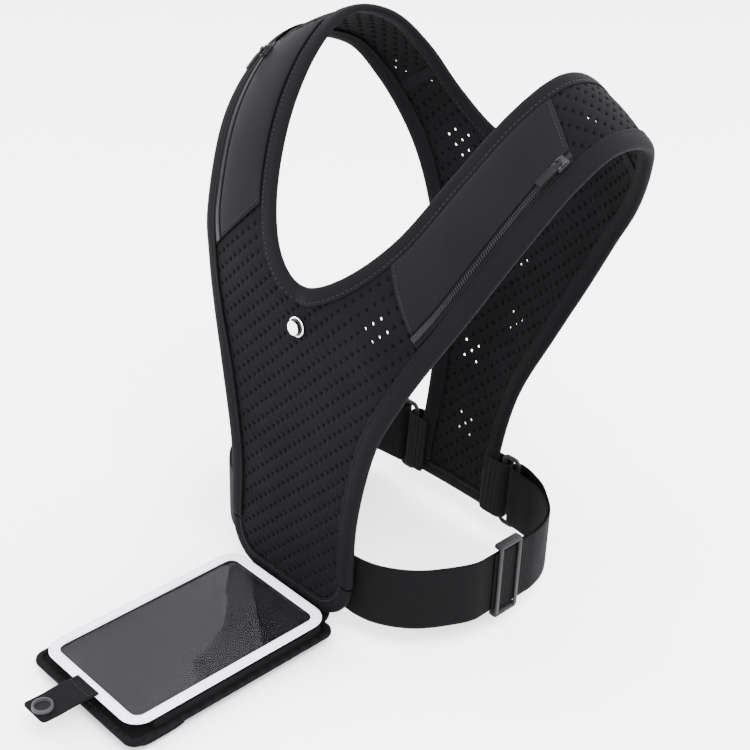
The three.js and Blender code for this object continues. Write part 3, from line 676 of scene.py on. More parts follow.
def strap_lengths(count=60):
    places = [middle(*strap_place(i / count, 0.5)) for i in range(count + 1)]
    lengths = [0.0]
    for a, b in zip(places, places[1:]):
        lengths.append(lengths[-1] + (b - a).length)
    return lengths


strap_steps = strap_lengths()
strap_length = strap_steps[-1]


def strap_share(distance):
    """The share of the strap's rows at a distance along it."""
    for i, (low, high) in enumerate(zip(strap_steps, strap_steps[1:])):
        if distance <= high:
            return (i + (distance - low) / (high - low)) / (len(strap_steps) - 1)
    return 1.0


def strap(side):
    width = 64 * mm

    def make(core):
        bm = punched_sheet(width, strap_length, core)
        for vert in bm.verts:
            w = 0.5 + 0.94 * vert.co.x / width
            vert.co = middle(*strap_place(strap_share(vert.co.y + strap_length / 2), w))
        return flip_x(bm) if side == "right" else bm

    return cloth_and_core(side + "_strap", make, [side + "_shoulder_strap"], neoprene, lining)


straps = [strap(side) for side in sides]
print("strap length in mm:", round(strap_length / mm))

# %% [markdown]
# ## Folded tape round the edges
#
# Binding is elastic tape folded over the cut edge and sewn down with one line of stitches. Its
# section is drawn once, from one lip round the fold to the other, and carried along each edge.

# %% Places along the edges
tape_section = [
    (12.0, 2.1), (11.4, 2.4), (10.2, 2.4), (9.6, 2.15), (9.0, 2.5), (7.0, 2.8), (4.5, 2.85),
    (2.4, 2.6), (1.0, 2.0), (0.25, 1.1), (0, 0),
]
tape_section += [(depth, -height) for depth, height in tape_section[-2::-1]]


def edge_frame(point, along, facing):
    tangent = along.normalized()
    inward = facing.cross(tangent).normalized()
    return point, tangent, inward, tangent.cross(inward)


def edge_sample(t):
    point = edge_at(t)
    along = (edge_at(t + step) - edge_at(t - step)).normalized()
    across = point - middle(t, 1 - 13 * mm / rib_length(t))
    return edge_frame(point, along, across.cross(along))


def neck_sample(t):
    point = inner_at(t)
    along = (inner_at(t - step) - inner_at(t + step)).normalized()
    if t in (neck_start, neck_end):
        along = Vector((-1 if t == neck_start else 1, 0, 0))
        facing = cloth_normal(t, 0)
        facing.x = 0
        return edge_frame(point, along, facing)
    across = point - middle(t, 13 * mm / rib_length(t))
    facing = across.cross(along).normalized().lerp(cloth_normal(t, 0), neck_middle_share(t))
    return edge_frame(point, along, facing)


def mirrored_sample(sample):
    point, tangent, inward, normal = sample
    return flip(point), -flip(tangent), flip(inward), flip(normal)


def shares(count, first=0.0, last=1.0):
    return [lerp(first, last, i / count) for i in range(count + 1)]


# %% Carrying the section along
def at_distance(samples, distances):
    """The places at these distances along samples."""
    i, passed = 0, 0.0
    for distance in distances:
        while (step_length := (samples[i + 1][0] - samples[i][0]).length) < distance - passed:
            passed += step_length
            i += 1
        share = (distance - passed) / step_length
        yield [a.lerp(b, share) for a, b in zip(samples[i], samples[i + 1])]


def tape_length(samples):
    return sum((b[0] - a[0]).length for a, b in zip(samples, samples[1:]))


def folded_tape(samples):
    columns, rows = len(samples) - 1, len(tape_section) - 1

    def place(u, v):
        point, _, inward, normal = samples[round(u * columns)]
        depth, height = tape_section[round(v * rows)]
        return point + inward * depth * mm + normal * height * mm

    return lay(new_grid(columns, rows), place, tape_length(samples), 34 * mm)


def stitch_row(bm, samples, depth, height, pitch=3.4 * mm, long=2.3 * mm):
    """Short stitches along the tape, a little proud of it."""
    count = int(tape_length(samples) / pitch)
    for place in at_distance(samples, [(i + 0.5) * pitch for i in range(count)]):
        point, *axes = place
        centre = point + axes[1] * depth + axes[2] * height
        brick(bm, axes_at(centre, *axes), (long, 0.5 * mm, 0.45 * mm))


def binding(name, samples, nodes, closed=False):
    bm = folded_tape(samples)
    made = piece(
        name, face_out(weld(bm) if closed else bm), "vest", nodes, "binding", binding_tape
    )
    thicken(made, 0.8 * mm, -1)
    soften(made)
    stitches = bmesh.new()
    for side in (1, -1):
        stitch_row(stitches, samples, 9.6 * mm, side * 2.3 * mm)
    piece(name + "_stitches", stitches, "vest", [], "binding", thread)


armhole_samples = [edge_sample(t) for t in shares(130, 0.02, last_rib - 0.38)]
binding("left_binding", armhole_samples, ["left_armhole_binding"])
right_samples = [mirrored_sample(sample) for sample in reversed(armhole_samples)]
binding("right_binding", right_samples, ["right_armhole_binding"])
print("armhole tape in mm:", round(tape_length(armhole_samples) / mm))

# %% The neck, and the two hems
neck_half = [neck_sample(t) for t in shares(90, neck_start, neck_end)]
neck_round = neck_half[::-1] + [mirrored_sample(sample) for sample in neck_half[1:]]
binding("neck_tape", neck_round, ["neck_binding"], closed=True)


def tongue_sample(angle):
    along = Vector((math.sin(angle), 0, math.cos(angle)))
    return edge_frame(tongue_edge(angle), along, Vector((0, -1, 0)))


tongue_half = [tongue_sample(angle) for angle in shares(22, 0.03, math.pi / 2)]
tongue_round = [mirrored_sample(sample) for sample in tongue_half] + tongue_half[::-1][1:]
binding("tongue_tape", tongue_round, ["tongue_hem"])


def hem_sample(w):
    facing = cloth_normal(last_rib - 0.15, abs(w))
    facing.x = 0
    point = middle(last_rib, abs(w))
    return edge_frame(point if w > 0 else flip(point), Vector((-1, 0, 0)), facing)


back_round = [hem_sample(w) for w in shares(16, 1, -1)]
binding("back_tape", back_round, ["back_hem"])
print("neck tape in mm:", round(tape_length(neck_round) / mm))

# %% [markdown]
# ## Strap pockets and their zips
#
# A panel of smooth stretch knit covers the front of each strap between the neck tape and the zip.
# It is cut as a strip on the same surface, a little higher than the strap, and padded out slightly
# as an empty stretch pocket is.

# %% A place over the strap
pocket_start, pocket_end = (4.92, 4.02), (7.7, 7.2)


def over_strap(s, from_inner, from_edge, share, height, start=pocket_start, end=pocket_end):
    """A place above the strap: share 0 is from_inner off the neck edge, 1 is from_edge off the
    armhole edge."""
    inner, edge = lerp(start[0], end[0], s), lerp(start[1], end[1], s)
    length = rib_length((inner + edge) / 2)
    w = lerp(from_inner, length - from_edge, share) / length
    t = lerp(inner, edge, w)
    return middle(t, w) + cloth_normal(t, w) * height


def pocket(side):
    def place(u, v):
        puff = math.sin(math.pi * u) * math.sin(math.pi * v)
        roll = 0.2 * mm * (smooth(abs(u - 0.5), 0.46, 0.49) + smooth(abs(v - 0.5), 0.44, 0.49))
        lift = 0.45 * mm * smooth(min(u, 1 - u), 0, 0.04)
        height = 2.0 * mm + lift + 1.5 * mm * puff ** 0.5 + roll
        return over_strap(u, 12.4 * mm, 19.5 * mm, v, height)

    bm = face_out(lay(new_grid(70, 20), place, 0.16, 0.034))
    nodes = [side + "_strap_pocket"]
    made = sided(side, "_pocket", bm, "vest", nodes, "stretch_fabric", stretch)
    thicken(made, 1.1 * mm)
    soften(made)
    return made


pockets = [pocket(side) for side in sides]


# %% Seam tapes over the joins in the cloth, and the pockets' sewn ends
def seam_tape(side, name, row, face):
    def place(u, v):
        t = lerp(row[0], row[1], u) + 0.24 * (v - 0.5)
        w = lerp(0.13, 0.87, u)
        return middle(t, w) + cloth_normal(t, w) * face * 1.95 * mm

    bm = face_out(lay(new_grid(16, 4), place, 45 * mm, 9 * mm))
    thicken(sided(side, name, bm, "vest", [], "binding", binding_tape), 0.5 * mm)


def pocket_stitches(side):
    bm = bmesh.new()
    for end in (0.025, 0.975):
        samples = []
        places = [over_strap(end, 14.2 * mm, 21 * mm, v, 3.2 * mm) for v in shares(16)]
        normal = (over_strap(end, 12 * mm, 21 * mm, 0.5, 9 * mm) - places[8]).normalized()
        for a, b in zip(places, places[1:] + [places[-1] * 2 - places[-2]]):
            along = (b - a).normalized()
            samples.append((a, along, normal.cross(along), normal))
        stitch_row(bm, samples, 0, 0.1 * mm, 2.6 * mm, 1.8 * mm)
    sided(side, "_pocket_stitches", bm, "vest", [], "stretch_fabric", thread)


for side in sides:
    seam_tape(side, "_back_seam", (10.45, 10.45), 1)
    seam_tape(side, "_back_seam_inside", (10.45, 10.45), -1)
    seam_tape(side, "_chest_seam_inside", (5.2, 4.4), -1)
    pocket_stitches(side)


# %% Zip tape and teeth
zip_middle, teeth_height, teeth_count = 16.5 * mm, 2.95 * mm, 104


def zip_parts(side):
    def tape_place(u, v):
        return over_strap(u, 0, 19.5 * mm - 7.5 * mm * v, 1, 2.3 * mm)

    bm = lay(new_grid(60, 4), tape_place, 0.15, 0.0075)
    nodes = [side + "_zip_chain"]
    thicken(sided(side, "_zip_tape", bm, "vest", nodes, "zip_chain", zip_tape), 0.7 * mm)
    teeth = bmesh.new()
    for i in range(teeth_count):
        at = (i + 0.5) / teeth_count
        near = over_strap(at, 0, zip_middle, 1, teeth_height)
        after = over_strap(at + 0.004, 0, zip_middle, 1, teeth_height)
        out = over_strap(at, 0, zip_middle - mm, 1, teeth_height)
        along, across = (after - near).normalized(), (out - near).normalized()
        for sign in (-1, 1):
            point = near + across * sign * 0.9 * mm + along * sign * 0.35 * mm
            place = axes_at(point, along, across, along.cross(across))
            brick(teeth, place, (0.8 * mm, 2.2 * mm, 1.0 * mm))
    sided(side, "_zip_teeth", teeth, "vest", [], "zip_chain", zip_coil)


for side in sides:
    zip_parts(side)
print("zip teeth on each side:", 2 * teeth_count)


# %% [markdown]
# ## Turned and moulded pieces
#
# The snap's parts are round, so half a section is spun about an axis. Bars and frames are boxes
# with their edges bevelled.


# %% Spinning a section, and bevelled boxes
def spun(profile, steps=40):
    """A closed round shape from (radius, height) pairs in mm that start and end on the axis."""
    bm = bmesh.new()
    verts = [bm.verts.new((radius * mm, 0, height * mm)) for radius, height in profile]
    edges = [bm.edges.new(pair) for pair in zip(verts, verts[1:])]
    bmesh.ops.spin(
        bm, geom=verts + edges, cent=(0, 0, 0), axis=(0, 0, 1), angle=2 * math.pi,
        steps=steps, use_merge=True, use_duplicate=False,
    )
    bmesh.ops.remove_doubles(bm, verts=bm.verts, dist=0.005 * mm)
    return face_out(bm)


def stand(bm, point, direction):
    turn = Vector((0, 0, 1)).rotation_difference(direction).to_matrix()
    bmesh.ops.rotate(bm, verts=bm.verts, matrix=turn)
    return shift(bm, point)


def round_edges(bm, edges, radius, segments):
    bmesh.ops.bevel(
        bm, geom=edges, affect="EDGES", offset=radius, segments=segments, profile=0.5, material=-1
    )


def bar(bm, centre, size, radius, segments=3):
    """A box with rounded edges, added to bm. Its sizes are in mm."""
    made = bmesh.new()
    brick(made, Matrix(), Vector(size) * mm)
    round_edges(made, made.edges[:], radius * mm, segments)
    shift(made, Vector(centre) * mm)
    held = bpy.data.meshes.new("held")
    made.to_mesh(held)
    made.free()
    bm.from_mesh(held)
    bpy.data.meshes.remove(held)


# %% The snap's stud on the chest
hinge = Vector((0, -0.151, -0.341))
snap_reach = 195.2 * mm
chest_low, chest_top = inner_at(neck_start - 1), inner_at(neck_start)
lean = math.atan2(chest_top.y - chest_low.y, chest_top.z - chest_low.z)
stud_normal = Vector((0, -math.cos(lean), math.sin(lean)))
stud_z = hinge.z + snap_reach * math.cos(lean)
stud_middle = Vector((0, chest_top.y - math.tan(lean) * (chest_top.z - stud_z), stud_z))

stud_profile = [
    (0, 0), (6.6, 0), (7, 0.3), (7, 0.9), (6.8, 1.25), (6.4, 1.4), (6.0, 1.3), (5.7, 0.9),
    (5.2, 0.6), (4.2, 0.6), (4.1, 1.2), (4.1, 2.2), (4.9, 2.8), (5.0, 3.3), (5.0, 4.0),
    (4.8, 4.35), (4.4, 4.5), (3.9, 4.45), (3.4, 4.3), (0, 4.2),
]

def stud_shape():
    """The rim and the tip are polished chrome, and the neck between them is painted near black as
    the shadow between the cap and the base ring.
    """
    bm = spun(stud_profile)
    for face in bm.faces:
        centre = face.calc_center_median()
        reach, height = math.hypot(centre.x, centre.y), centre.z
        polished = height > 4.0 * mm or reach > 5.9 * mm
        # Faces outside the polished rim and tip take the painted shadow finish.
        face.material_index = 0 if polished else 1
    return stand(bm, stud_middle + stud_normal * 1.7 * mm, stud_normal)


piece("stud", stud_shape(), "vest", ["snap_stud"], "snap_metal", chrome, painted_shadow_steel)
cap_profile = [(0, 0), (5.4, 0), (6, 0.4), (6, 0.9), (5.2, 1.3), (0, 1.5)]
piece(
    "stud_back", stand(spun(cap_profile), stud_middle - stud_normal * 1.8 * mm, -stud_normal),
    "vest", ["stud_cap"], "snap_metal", chrome,
)
print("stud at", [round(c, 4) for c in stud_middle])

# %% Zip sliders and their pulls
slider_at, slider_height = 0.93, 3.9 * mm


def zip_frame():
    here = over_strap(slider_at, 0, zip_middle, 1, slider_height)
    after = over_strap(slider_at + 0.01, 0, zip_middle, 1, slider_height)
    out = over_strap(slider_at, 0, zip_middle - 1.5 * mm, 1, slider_height)
    along = (after - here).normalized()
    normal = (out - here).cross(along).normalized()
    return axes_at(here, along.cross(normal), along, normal)


def zip_slider(side):
    bm = bmesh.new()
    bar(bm, (0, 0, 0.7), (7, 9.5, 1.0), 0.4)
    bar(bm, (0, 0, 1.9), (6, 8.5, 1.1), 0.5)
    for x in (-3.1, 3.1):
        bar(bm, (x, 0, 0), (0.8, 8.5, 1.7), 0.3)
    for x in (-2.4, 2.4):
        bar(bm, (x, 0, 3.1), (1.2, 3.6, 2.0), 0.5)
    bar(bm, (0, 0, 3.3), (5, 0.9, 0.9), 0.3)
    bmesh.ops.transform(bm, matrix=zip_frame(), verts=bm.verts)
    nodes = [side + "_zip_slider"]
    sided(side, "_slider", bm, side + "_zip", nodes, "zip_metal", zip_paint)


def zip_pull(side):
    bm = bmesh.new()
    bar(bm, (0, -2.6, 3.3), (2.4, 6.6, 1.3), 0.5)
    bar(bm, (0, -12.2, 3.3), (4.6, 15, 1.6), 0.7)
    for i in range(6):
        bar(bm, (0, -8.4 - 1.7 * i, 3.3), (4.9, 0.7, 2.0), 0.3, 2)
    bmesh.ops.transform(bm, matrix=zip_frame(), verts=bm.verts)
    sided(side, "_grip", bm, side + "_pull", [side + "_zip_pull"], "pull_cord", rubber)


for side in sides:
    zip_slider(side)
    zip_pull(side)

# %% [markdown]
# ## The belt
#
# The elastic belt is sewn behind the tongue, runs round each side, turns through a ring at the
# back and doubles back outside itself to its slider. It is one strip along one line.

# %% The belt's line
belt_half, belt_width, belt_top = 118.5 * mm, 50 * mm, -0.295
belt_middle, belt_slider_y = belt_top - belt_width / 2, -52 * mm
ring_pivot = Vector((0.046, 0.0258, 0))
ring_bar, ring_slot = 3.4 * mm, 10 * mm
outer_bar = Vector((ring_pivot.x + ring_slot + ring_bar, ring_pivot.y, 0))
turn_radius, layers = 5.2 * mm, 1.8 * mm
belt_corners = [
    (2, -136.6), (40, -136.6), (62, -136.6), (80, -131), (98, -117), (111, -97), (118.5, -78),
    (118.5, -52), (118.5, -26), (113, -6), (102, 8), (86, 17), (72, 19.3), (59.4, 20.6),
]
belt_spline = spline([Vector((x * mm, y * mm, 0)) for x, y in belt_corners])


def belt_line():
    main = [belt_spline(u * (len(belt_corners) - 1)) for u in shares(104)]
    for place in main:
        place.x = min(place.x, belt_half)
    return main


def sideways(line, i):
    along = line[min(i + 1, len(line) - 1)] - line[max(i - 1, 0)]
    return Vector((along.y, -along.x, 0)).normalized()


def whole_belt_line():
    main = belt_line()
    end = main[-1]
    spread = 2 * turn_radius - layers
    returned = [
        place
        + sideways(main, i) * (layers + spread * (1 - smooth((place - end).length, 0, 0.045)))
        for i, place in enumerate(main)
    ]
    turn = [
        outer_bar + Vector((-math.sin(a), -math.cos(a), 0)) * turn_radius
        for a in shares(16, 0, math.pi)
    ]
    start = next(i for i, p in enumerate(main) if p.x > belt_half - 0.5 * mm and p.y > -0.066)
    return main[:-3] + turn + returned[start:-3][::-1]


belt_path = whole_belt_line()


def line_length(line):
    return sum((b - a).length for a, b in zip(line, line[1:]))


def strip(line, low, height, rows):
    """A strip on edge along a line seen from above."""
    columns = len(line) - 1

    def place(u, v):
        point = line[round(u * columns)]
        return Vector((point.x, point.y, low + v * height))

    return face_out(lay(new_grid(columns, rows), place, line_length(line), height))


def belt(side):
    bm = strip(belt_path, belt_top - belt_width, belt_width, 8)
    made = sided(side, "_belt_strip", bm, "vest", [side + "_belt"], "webbing", elastic)
    thicken(made, 1.3 * mm)
    soften(made)


for side in sides:
    belt(side)
print("belt length in mm, each side:", round(line_length(belt_path) / mm))

# %% Where the belt is sewn behind the tongue
bm = bmesh.new()
bar(bm, (0, 0, 0), (90, 2, 46), 0.8)
shift(bm, (0, -138.75 * mm, belt_middle))
piece("belt_patch", bm, "vest", ["belt_anchor"], "webbing", webbing)

# %% [markdown]
# ## Rings and sliders
#
# Each ring is moulded in one piece, with round bars. Its line is a rectangle with round corners,
# and a round section is carried along it.


# %% A round bar along a closed line
def round_corner_line(half_width, half_height, radius, each=6):
    line = []
    for i, (sx, sy) in enumerate(((1, 1), (-1, 1), (-1, -1), (1, -1))):
        centre = Vector((sx * (half_width - radius), sy * (half_height - radius), 0))
        for angle in shares(each, i * math.pi / 2, (i + 1) * math.pi / 2):
            line.append(centre + Vector((math.cos(angle), math.sin(angle), 0)) * radius)
    return line + line[:1]


def round_bar(line, width, depth, around=12):
    """A closed bar along a closed line in x and y. Its section is width in plane, depth off it."""
    columns = len(line) - 1

    def place(u, v):
        i = round(u * columns) % columns
        along = line[(i + 1) % columns] - line[i - 1]
        out = Vector((along.y, -along.x, 0)).normalized()
        angle = 2 * math.pi * v
        x, z = math.cos(angle), math.sin(angle)
        fat = (abs(x) ** 4 + abs(z) ** 4) ** -0.25
        return line[i] + out * x * fat * width / 2 + Vector((0, 0, z * fat * depth / 2))

    grid = new_grid(columns, around)
    return face_out(weld(lay(grid, place, line_length(line), 2 * (width + depth))))


upright = Matrix.Rotation(math.radians(90), 3, "X")
loop_height, loop_lean = 46 * mm, 0.083


def ring(side):
    half_width = (ring_slot + ring_bar) / 2
    line = round_corner_line(half_width, 28.9 * mm, 4 * mm)
    bm = round_bar(line, 3.3 * mm, 2.6 * mm)
    bmesh.ops.rotate(bm, verts=bm.verts, matrix=upright)
    shift(bm, (ring_pivot.x + half_width, ring_pivot.y, belt_middle))
    nodes = [side + "_ring"]
    sided(side, "_ring_bar", bm, side + "_ring_body", nodes, "buckle_plastic", buckle)


def ring_loop(side):
    radius = 5.5 * mm
    angles = shares(12, 0, math.pi)
    turn = [ring_pivot + Vector((math.sin(a), -math.cos(a), 0)) * radius for a in angles]
    start, end = turn[0].copy(), turn[-1].copy()
    start.x = end.x = 30 * mm
    line = [start, start.lerp(turn[0], 0.5)] + turn + [end.lerp(turn[-1], 0.5), end]
    bm = strip(line, belt_middle - loop_height / 2, loop_height, 8)
    for vert in bm.verts:
        vert.co.y += loop_lean * (vert.co.z - belt_middle)
    made = sided(side, "_ring_strap", bm, "vest", [side + "_ring_loop"], "webbing", webbing)
    thicken(made, 1.4 * mm)
    soften(made)


# %% Belt sliders: a frame outside the belt's two layers, with its middle bar inside them
def adjuster(side):
    bm = bmesh.new()
    outer, inner = 3.6, -1.8
    for y in (-9.3, 9.3):
        bar(bm, (outer, y, 0), (1.6, 3.4, 56), 0.7)
    bar(bm, (inner, 0, 0), (1.5, 3.4, 54), 0.65)
    for z in (-28.3, 28.3):
        bar(bm, ((outer + inner) / 2, 0, z), (6.8, 22, 3.9), 1.6, 4)
    shift(bm, (belt_half, belt_slider_y, belt_middle))
    nodes = [side + "_belt_slider"]
    sided(side, "_belt_frame", bm, side + "_adjuster", nodes, "buckle_plastic", buckle)


for side in sides:
    ring(side)
    ring_loop(side)
    adjuster(side)

# %% [markdown]
# ## The phone pouch
#
# The pouch is a shallow tray of neoprene with a clear window on top. A light coated tape frames
# the window and holds it down, and the outer short end is left open for the phone.

# %% Levels and outlines of the open pouch
pouch_near, pouch_far, pouch_half = -0.1503, -0.3203, 57 * mm
border_half, border_corner, border_thickness = 51.8 * mm, 14 * mm, 0.8 * mm
wall_end = 20 * mm
border_top = -0.3446
window_low, floor_top, pouch_low = -0.3464, -0.3538, -0.3558


def rounded_face(half_width, near, far, radius, z, segments=8):
    """One flat face with round corners."""
    bm = bmesh.new()
    bmesh.ops.create_grid(bm, x_segments=1, y_segments=1, size=0.5)
    bmesh.ops.scale(bm, verts=bm.verts, vec=(2 * half_width, near - far, 1))
    bmesh.ops.bevel(
        bm, geom=bm.verts[:], affect="VERTICES", offset=radius, segments=segments,
        profile=0.5, material=-1,
    )
    return shift(bm, (0, (near + far) / 2, z))


def raise_up(bm, height, edge=0.0, segments=2):
    """Gives flat faces a thickness upwards, with a small round on the outer edges."""
    made = bmesh.ops.extrude_face_region(bm, geom=bm.faces[:])["geom"]
    top = [v for v in made if isinstance(v, bmesh.types.BMVert)]
    bmesh.ops.translate(bm, verts=top, vec=(0, 0, height))
    face_out(bm)
    if edge:
        sharp = [e for e in bm.edges if len(e.link_faces) == 2 and e.calc_face_angle() > 1]
        round_edges(bm, sharp, edge, segments)


def hollow(bm, width):
    """Leaves a band of this width inside the outline of a single face."""
    bmesh.ops.inset_region(bm, faces=bm.faces[:], use_boundary=True, thickness=width)
    inside = [max(bm.faces, key=lambda face: face.calc_area())]
    bmesh.ops.delete(bm, geom=inside, context="FACES")


# %% Back of the pouch, and its walls
bm = rounded_face(pouch_half, pouch_near, pouch_far, 9 * mm, pouch_low)
raise_up(bm, 2 * mm, 0.9 * mm, 3)
piece("pouch_floor", bm, "pouch", ["pouch_back"], "neoprene", lining)

wall_face = rounded_face(
    53 * mm, pouch_near - 4 * mm, pouch_far - wall_end, border_corner, floor_top
)
hollow(wall_face, 1.6 * mm)
trim(wall_face, (0, pouch_far + wall_end, 0), (0, -1, 0))
raise_up(wall_face, 7 * mm, 0.3 * mm)
piece("pouch_wall", wall_face, "pouch", [], "neoprene", neoprene)
print("pouch:", round((pouch_near - pouch_far) / mm), "mm long")


# %% The tape round the pouch's edge
def pouch_line(half, near, far, radius):
    line = round_corner_line(half, (near - far) / 2, radius, 8)
    return [point + Vector((0, (near + far) / 2, 0)) for point in line]


rim = 2.4 * mm
edge_line = pouch_line(pouch_half - rim, pouch_near - rim, pouch_far + rim, 7 * mm)
bm = round_bar(edge_line, 4.8 * mm, 3.2 * mm, 14)
shift(bm, (0, 0, floor_top - 0.2 * mm))
piece("pouch_tape", bm, "pouch", [], "binding", binding_tape)

# %% The light border
border_near, border_far = pouch_near - 1.6 * mm, pouch_far + 5.2 * mm
bm = rounded_face(
    border_half, border_near, border_far, border_corner, border_top - border_thickness
)
hollow(bm, 7.5 * mm)
raise_up(bm, border_thickness, 0.25 * mm)
piece("border_tape", bm, "pouch", ["pouch_border"], "reflective_border", reflective)


def flat_stitches(line, z, finish, name, body, slot):
    bm = bmesh.new()
    samples = []
    for i, point in enumerate(line):
        along = (line[(i + 1) % (len(line) - 1)] - line[i - 1 if i else -2]).normalized()
        out = Vector((along.y, -along.x, 0))
        samples.append((point, along, out, Vector((0, 0, 1))))
    stitch_row(bm, samples, 0, z, 2.8 * mm, 1.9 * mm)
    return piece(name, bm, body, [], slot, finish)


for name, inset in (("outer", 1.6 * mm), ("inner", 6.2 * mm)):
    line = pouch_line(
        border_half - inset, border_near - inset, border_far + inset, border_corner - inset
    )
    flat_stitches(
        line, border_top + 0.05 * mm, pale_thread, "border_stitches_" + name, "pouch",
        "reflective_border",
    )

# %% The window and the padded pocket behind the pouch
bm = rounded_face(51.4 * mm, pouch_near - 2 * mm, pouch_far + 5.4 * mm, 13.6 * mm, window_low)
raise_up(bm, 0.6 * mm, 0.15 * mm)
piece("window_film", bm, "pouch", ["pouch_window"], "clear_film", film)


def rear_pocket():
    depth, top = 7 * mm, pouch_low - 0.4 * mm

    def place(u, v):
        x, y = lerp(-59, 59, u) * mm, lerp(-277, -314, v) * mm
        edge = min(u, 1 - u, 0.3) * 118, min(v, 1 - v, 0.5) * 37
        swell = smooth(edge[0], 0, 14) ** 0.5 * smooth(edge[1], 0, 10) ** 0.5
        return Vector((x, y, top - depth * swell))

    bm = lay(new_grid(40, 16), place, 0.118, 0.05)
    bmesh.ops.holes_fill(bm, edges=[e for e in bm.edges if e.is_boundary], sides=0)
    face_out(bm)
    made = piece("rear_pocket", bm, "pouch", ["pouch_rear_pocket"], "stretch_fabric", stretch)
    soften(made)
    return made


rear = rear_pocket()

# %% [markdown]
# ## Pieces across the fold
#
# Two strips cross a fold. The flap joins the bottom of the vest to the pouch, and the snap's tab
# runs from the border out past the pouch's end. Each is one strip that rides on neither body.


# %% The flap under the fold
flap_section = [
    (-142.2, -343), (-142.6, -350), (-144.2, -355), (-148, -357.6), (-154, -357.4), (-168, -357.2),
]
flap_points = [Vector((0, y * mm, z * mm)) for y, z in flap_section]
flap_line = spline(flap_points)


def flap_place(u, v):
    point = flap_line(u * (len(flap_points) - 1))
    return Vector((lerp(-41, 41, v) * mm, point.y, point.z))


bm = face_out(lay(new_grid(36, 16), flap_place, 0.04, 0.082))
flap = piece("fold_flap", bm, None, ["hinge_tape"], "binding", binding_tape)
thicken(flap, 1 * mm)
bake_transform(flap)


# %% The snap's tab
def tab_place(u, v):
    y = lerp(-312.3, -353.8, u)
    reach = 353.8 + y
    half = 12.0
    if reach < 3:
        half = 9 + math.sqrt(max(9 - (3 - reach) ** 2, 0))
    return Vector((lerp(-half, half, v) * mm, y * mm, (-343.4 - 0.25 * math.cos(u * 9)) * mm))


bm = face_out(lay(new_grid(48, 12), tab_place, 0.0415, 0.024))
tab = piece("tab_strip", bm, None, ["tab_root", "snap_tab"], "webbing", webbing)
thicken(tab, 1.5 * mm)
soften(tab)
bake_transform(tab)

root_line = pouch_line(10.2 * mm, -0.3134, -0.3196, 1.5 * mm)
flat_stitches(root_line, -0.34255, thread, "tab_stitches", "pouch", "webbing")

# %% The snap's socket and its back
snap_y = hinge.y - snap_reach
socket_profile = [
    (0, 0.6), (2.4, 0.6), (5.3, 0.6), (5.5, 0.8), (5.5, 2.3), (5.8, 2.6), (6.3, 2.6), (6.7, 2.3),
    (6.9, 1.2), (7.2, 0.8), (7.2, 0.2), (7.0, 0), (0, 0),
]
bm = spun(socket_profile)
for face in bm.faces:
    centre = face.calc_center_median()
    face.material_index = 1 if math.hypot(centre.x, centre.y) < 5.0 * mm and centre.z > 0 else 0
stand(bm, Vector((0, snap_y, -0.3424)), Vector((0, 0, 1)))
piece(
    "socket_ring", bm, "tab", ["snap_socket"], "socket_plastic", socket_grey, rubber
)
bm = stand(spun(cap_profile), Vector((0, snap_y, -0.3444)), Vector((0, 0, -1)))
piece("socket_back", bm, "tab", ["socket_cap"], "buckle_plastic", buckle)

# %% [markdown]
# ## The cut pieces of cloth
#
# The area of each cut piece is printed with its flat size.

# %% The cut pieces of cloth
def faces_area(thing):
    return sum(face.area for face in thing.data.polygons)


for name, cloth, flat in (
    ("chest", chest_cloth, (0.2, 0.27)),
    ("back", back_cloth, (0.17, 0.28)),
    ("strap", straps[0][0], (0.065, strap_length)),
):
    print(name, "cloth, cm2 with its holes:", round(faces_area(cloth) * 1e4), "flat:", flat)
faces_area(chest_cloth)
faces_area(back_cloth)
for (cloth, core), made in zip(straps, pockets):
    faces_area(cloth)
    min(faces_area(made), 0.036 * 0.16)

# %% [markdown]
# ## Floor, light and camera
#
# A black object needs large soft lights, so that its edges and folds are drawn by broad, pale
# reflections. The floor and the world are nearly white.


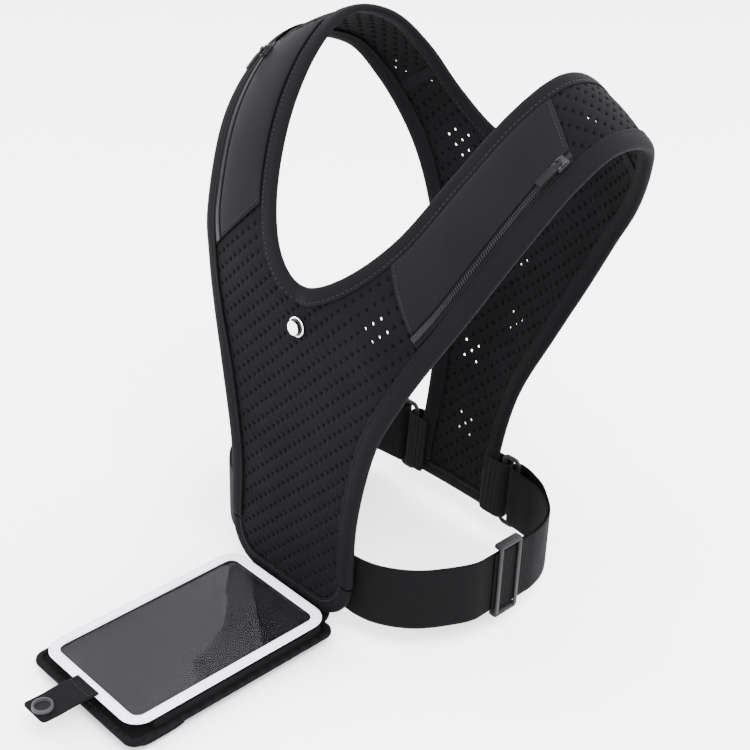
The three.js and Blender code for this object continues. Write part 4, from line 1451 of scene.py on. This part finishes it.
# %% Floor and world
bm = bmesh.new()
bmesh.ops.create_grid(bm, x_segments=1, y_segments=1, size=6)
shift(bm, (0, 0, -0.3636))
floor_mesh = bpy.data.meshes.new("floor")
bm.to_mesh(floor_mesh)
bm.free()
floor = bpy.data.objects.new("floor", floor_mesh)
bpy.context.scene.collection.objects.link(floor)
pale = Finish("pale_floor", Roughness=0.9)
pale.shader.inputs["Base Color"].default_value = (0.93, 0.93, 0.94, 1)
floor_mesh.materials.append(pale.material)

world = bpy.data.worlds.new("studio")
world.use_nodes = True
world.node_tree.nodes["Background"].inputs["Color"].default_value = (0.97, 0.97, 1.0, 1)
world.node_tree.nodes["Background"].inputs["Strength"].default_value = 5.2
bpy.context.scene.world = world


# %% Soft lights
def soft_light(name, position, size, power, target=(0, -0.05, -0.18)):
    lamp = bpy.data.lights.new(name, "AREA")
    lamp.size, lamp.energy = size, power
    holder = bpy.data.objects.new(name, lamp)
    holder.location = position
    away = Vector(position) - Vector(target)
    holder.rotation_euler = away.to_track_quat("Z", "Y").to_euler()
    bpy.context.scene.collection.objects.link(holder)


soft_light("key", (0.9, -0.5, 1.3), 0.9, 60)
soft_light("side", (-1.2, -0.6, 0.6), 1.0, 20)
soft_light("rim", (0.6, 1.2, 0.8), 0.8, 30)

# %% Camera
azimuth, elevation, roll = (math.radians(a) for a in (45.45, 30.07, 2.05))
level_right = Vector((math.cos(azimuth), math.sin(azimuth), 0))
away = Vector(
    (
        math.sin(azimuth) * math.cos(elevation),
        -math.cos(azimuth) * math.cos(elevation),
        math.sin(elevation),
    )
)
level_up = away.cross(level_right)
right = level_right * math.cos(roll) + level_up * math.sin(roll)
up = level_up * math.cos(roll) - level_right * math.sin(roll)
drawn_from = Vector((0, 0.15, 0.345))
position = away * 1.0541 + right * 0.06472 + up * 0.1451 - drawn_from
camera_data = bpy.data.cameras.new("camera")
camera_data.lens, camera_data.sensor_width = 72, 36
camera = bpy.data.objects.new("camera", camera_data)
camera.matrix_world = axes_at(position, right, up, away)
bpy.context.scene.collection.objects.link(camera)
bpy.context.scene.camera = camera
print("camera at", [round(c, 3) for c in position])
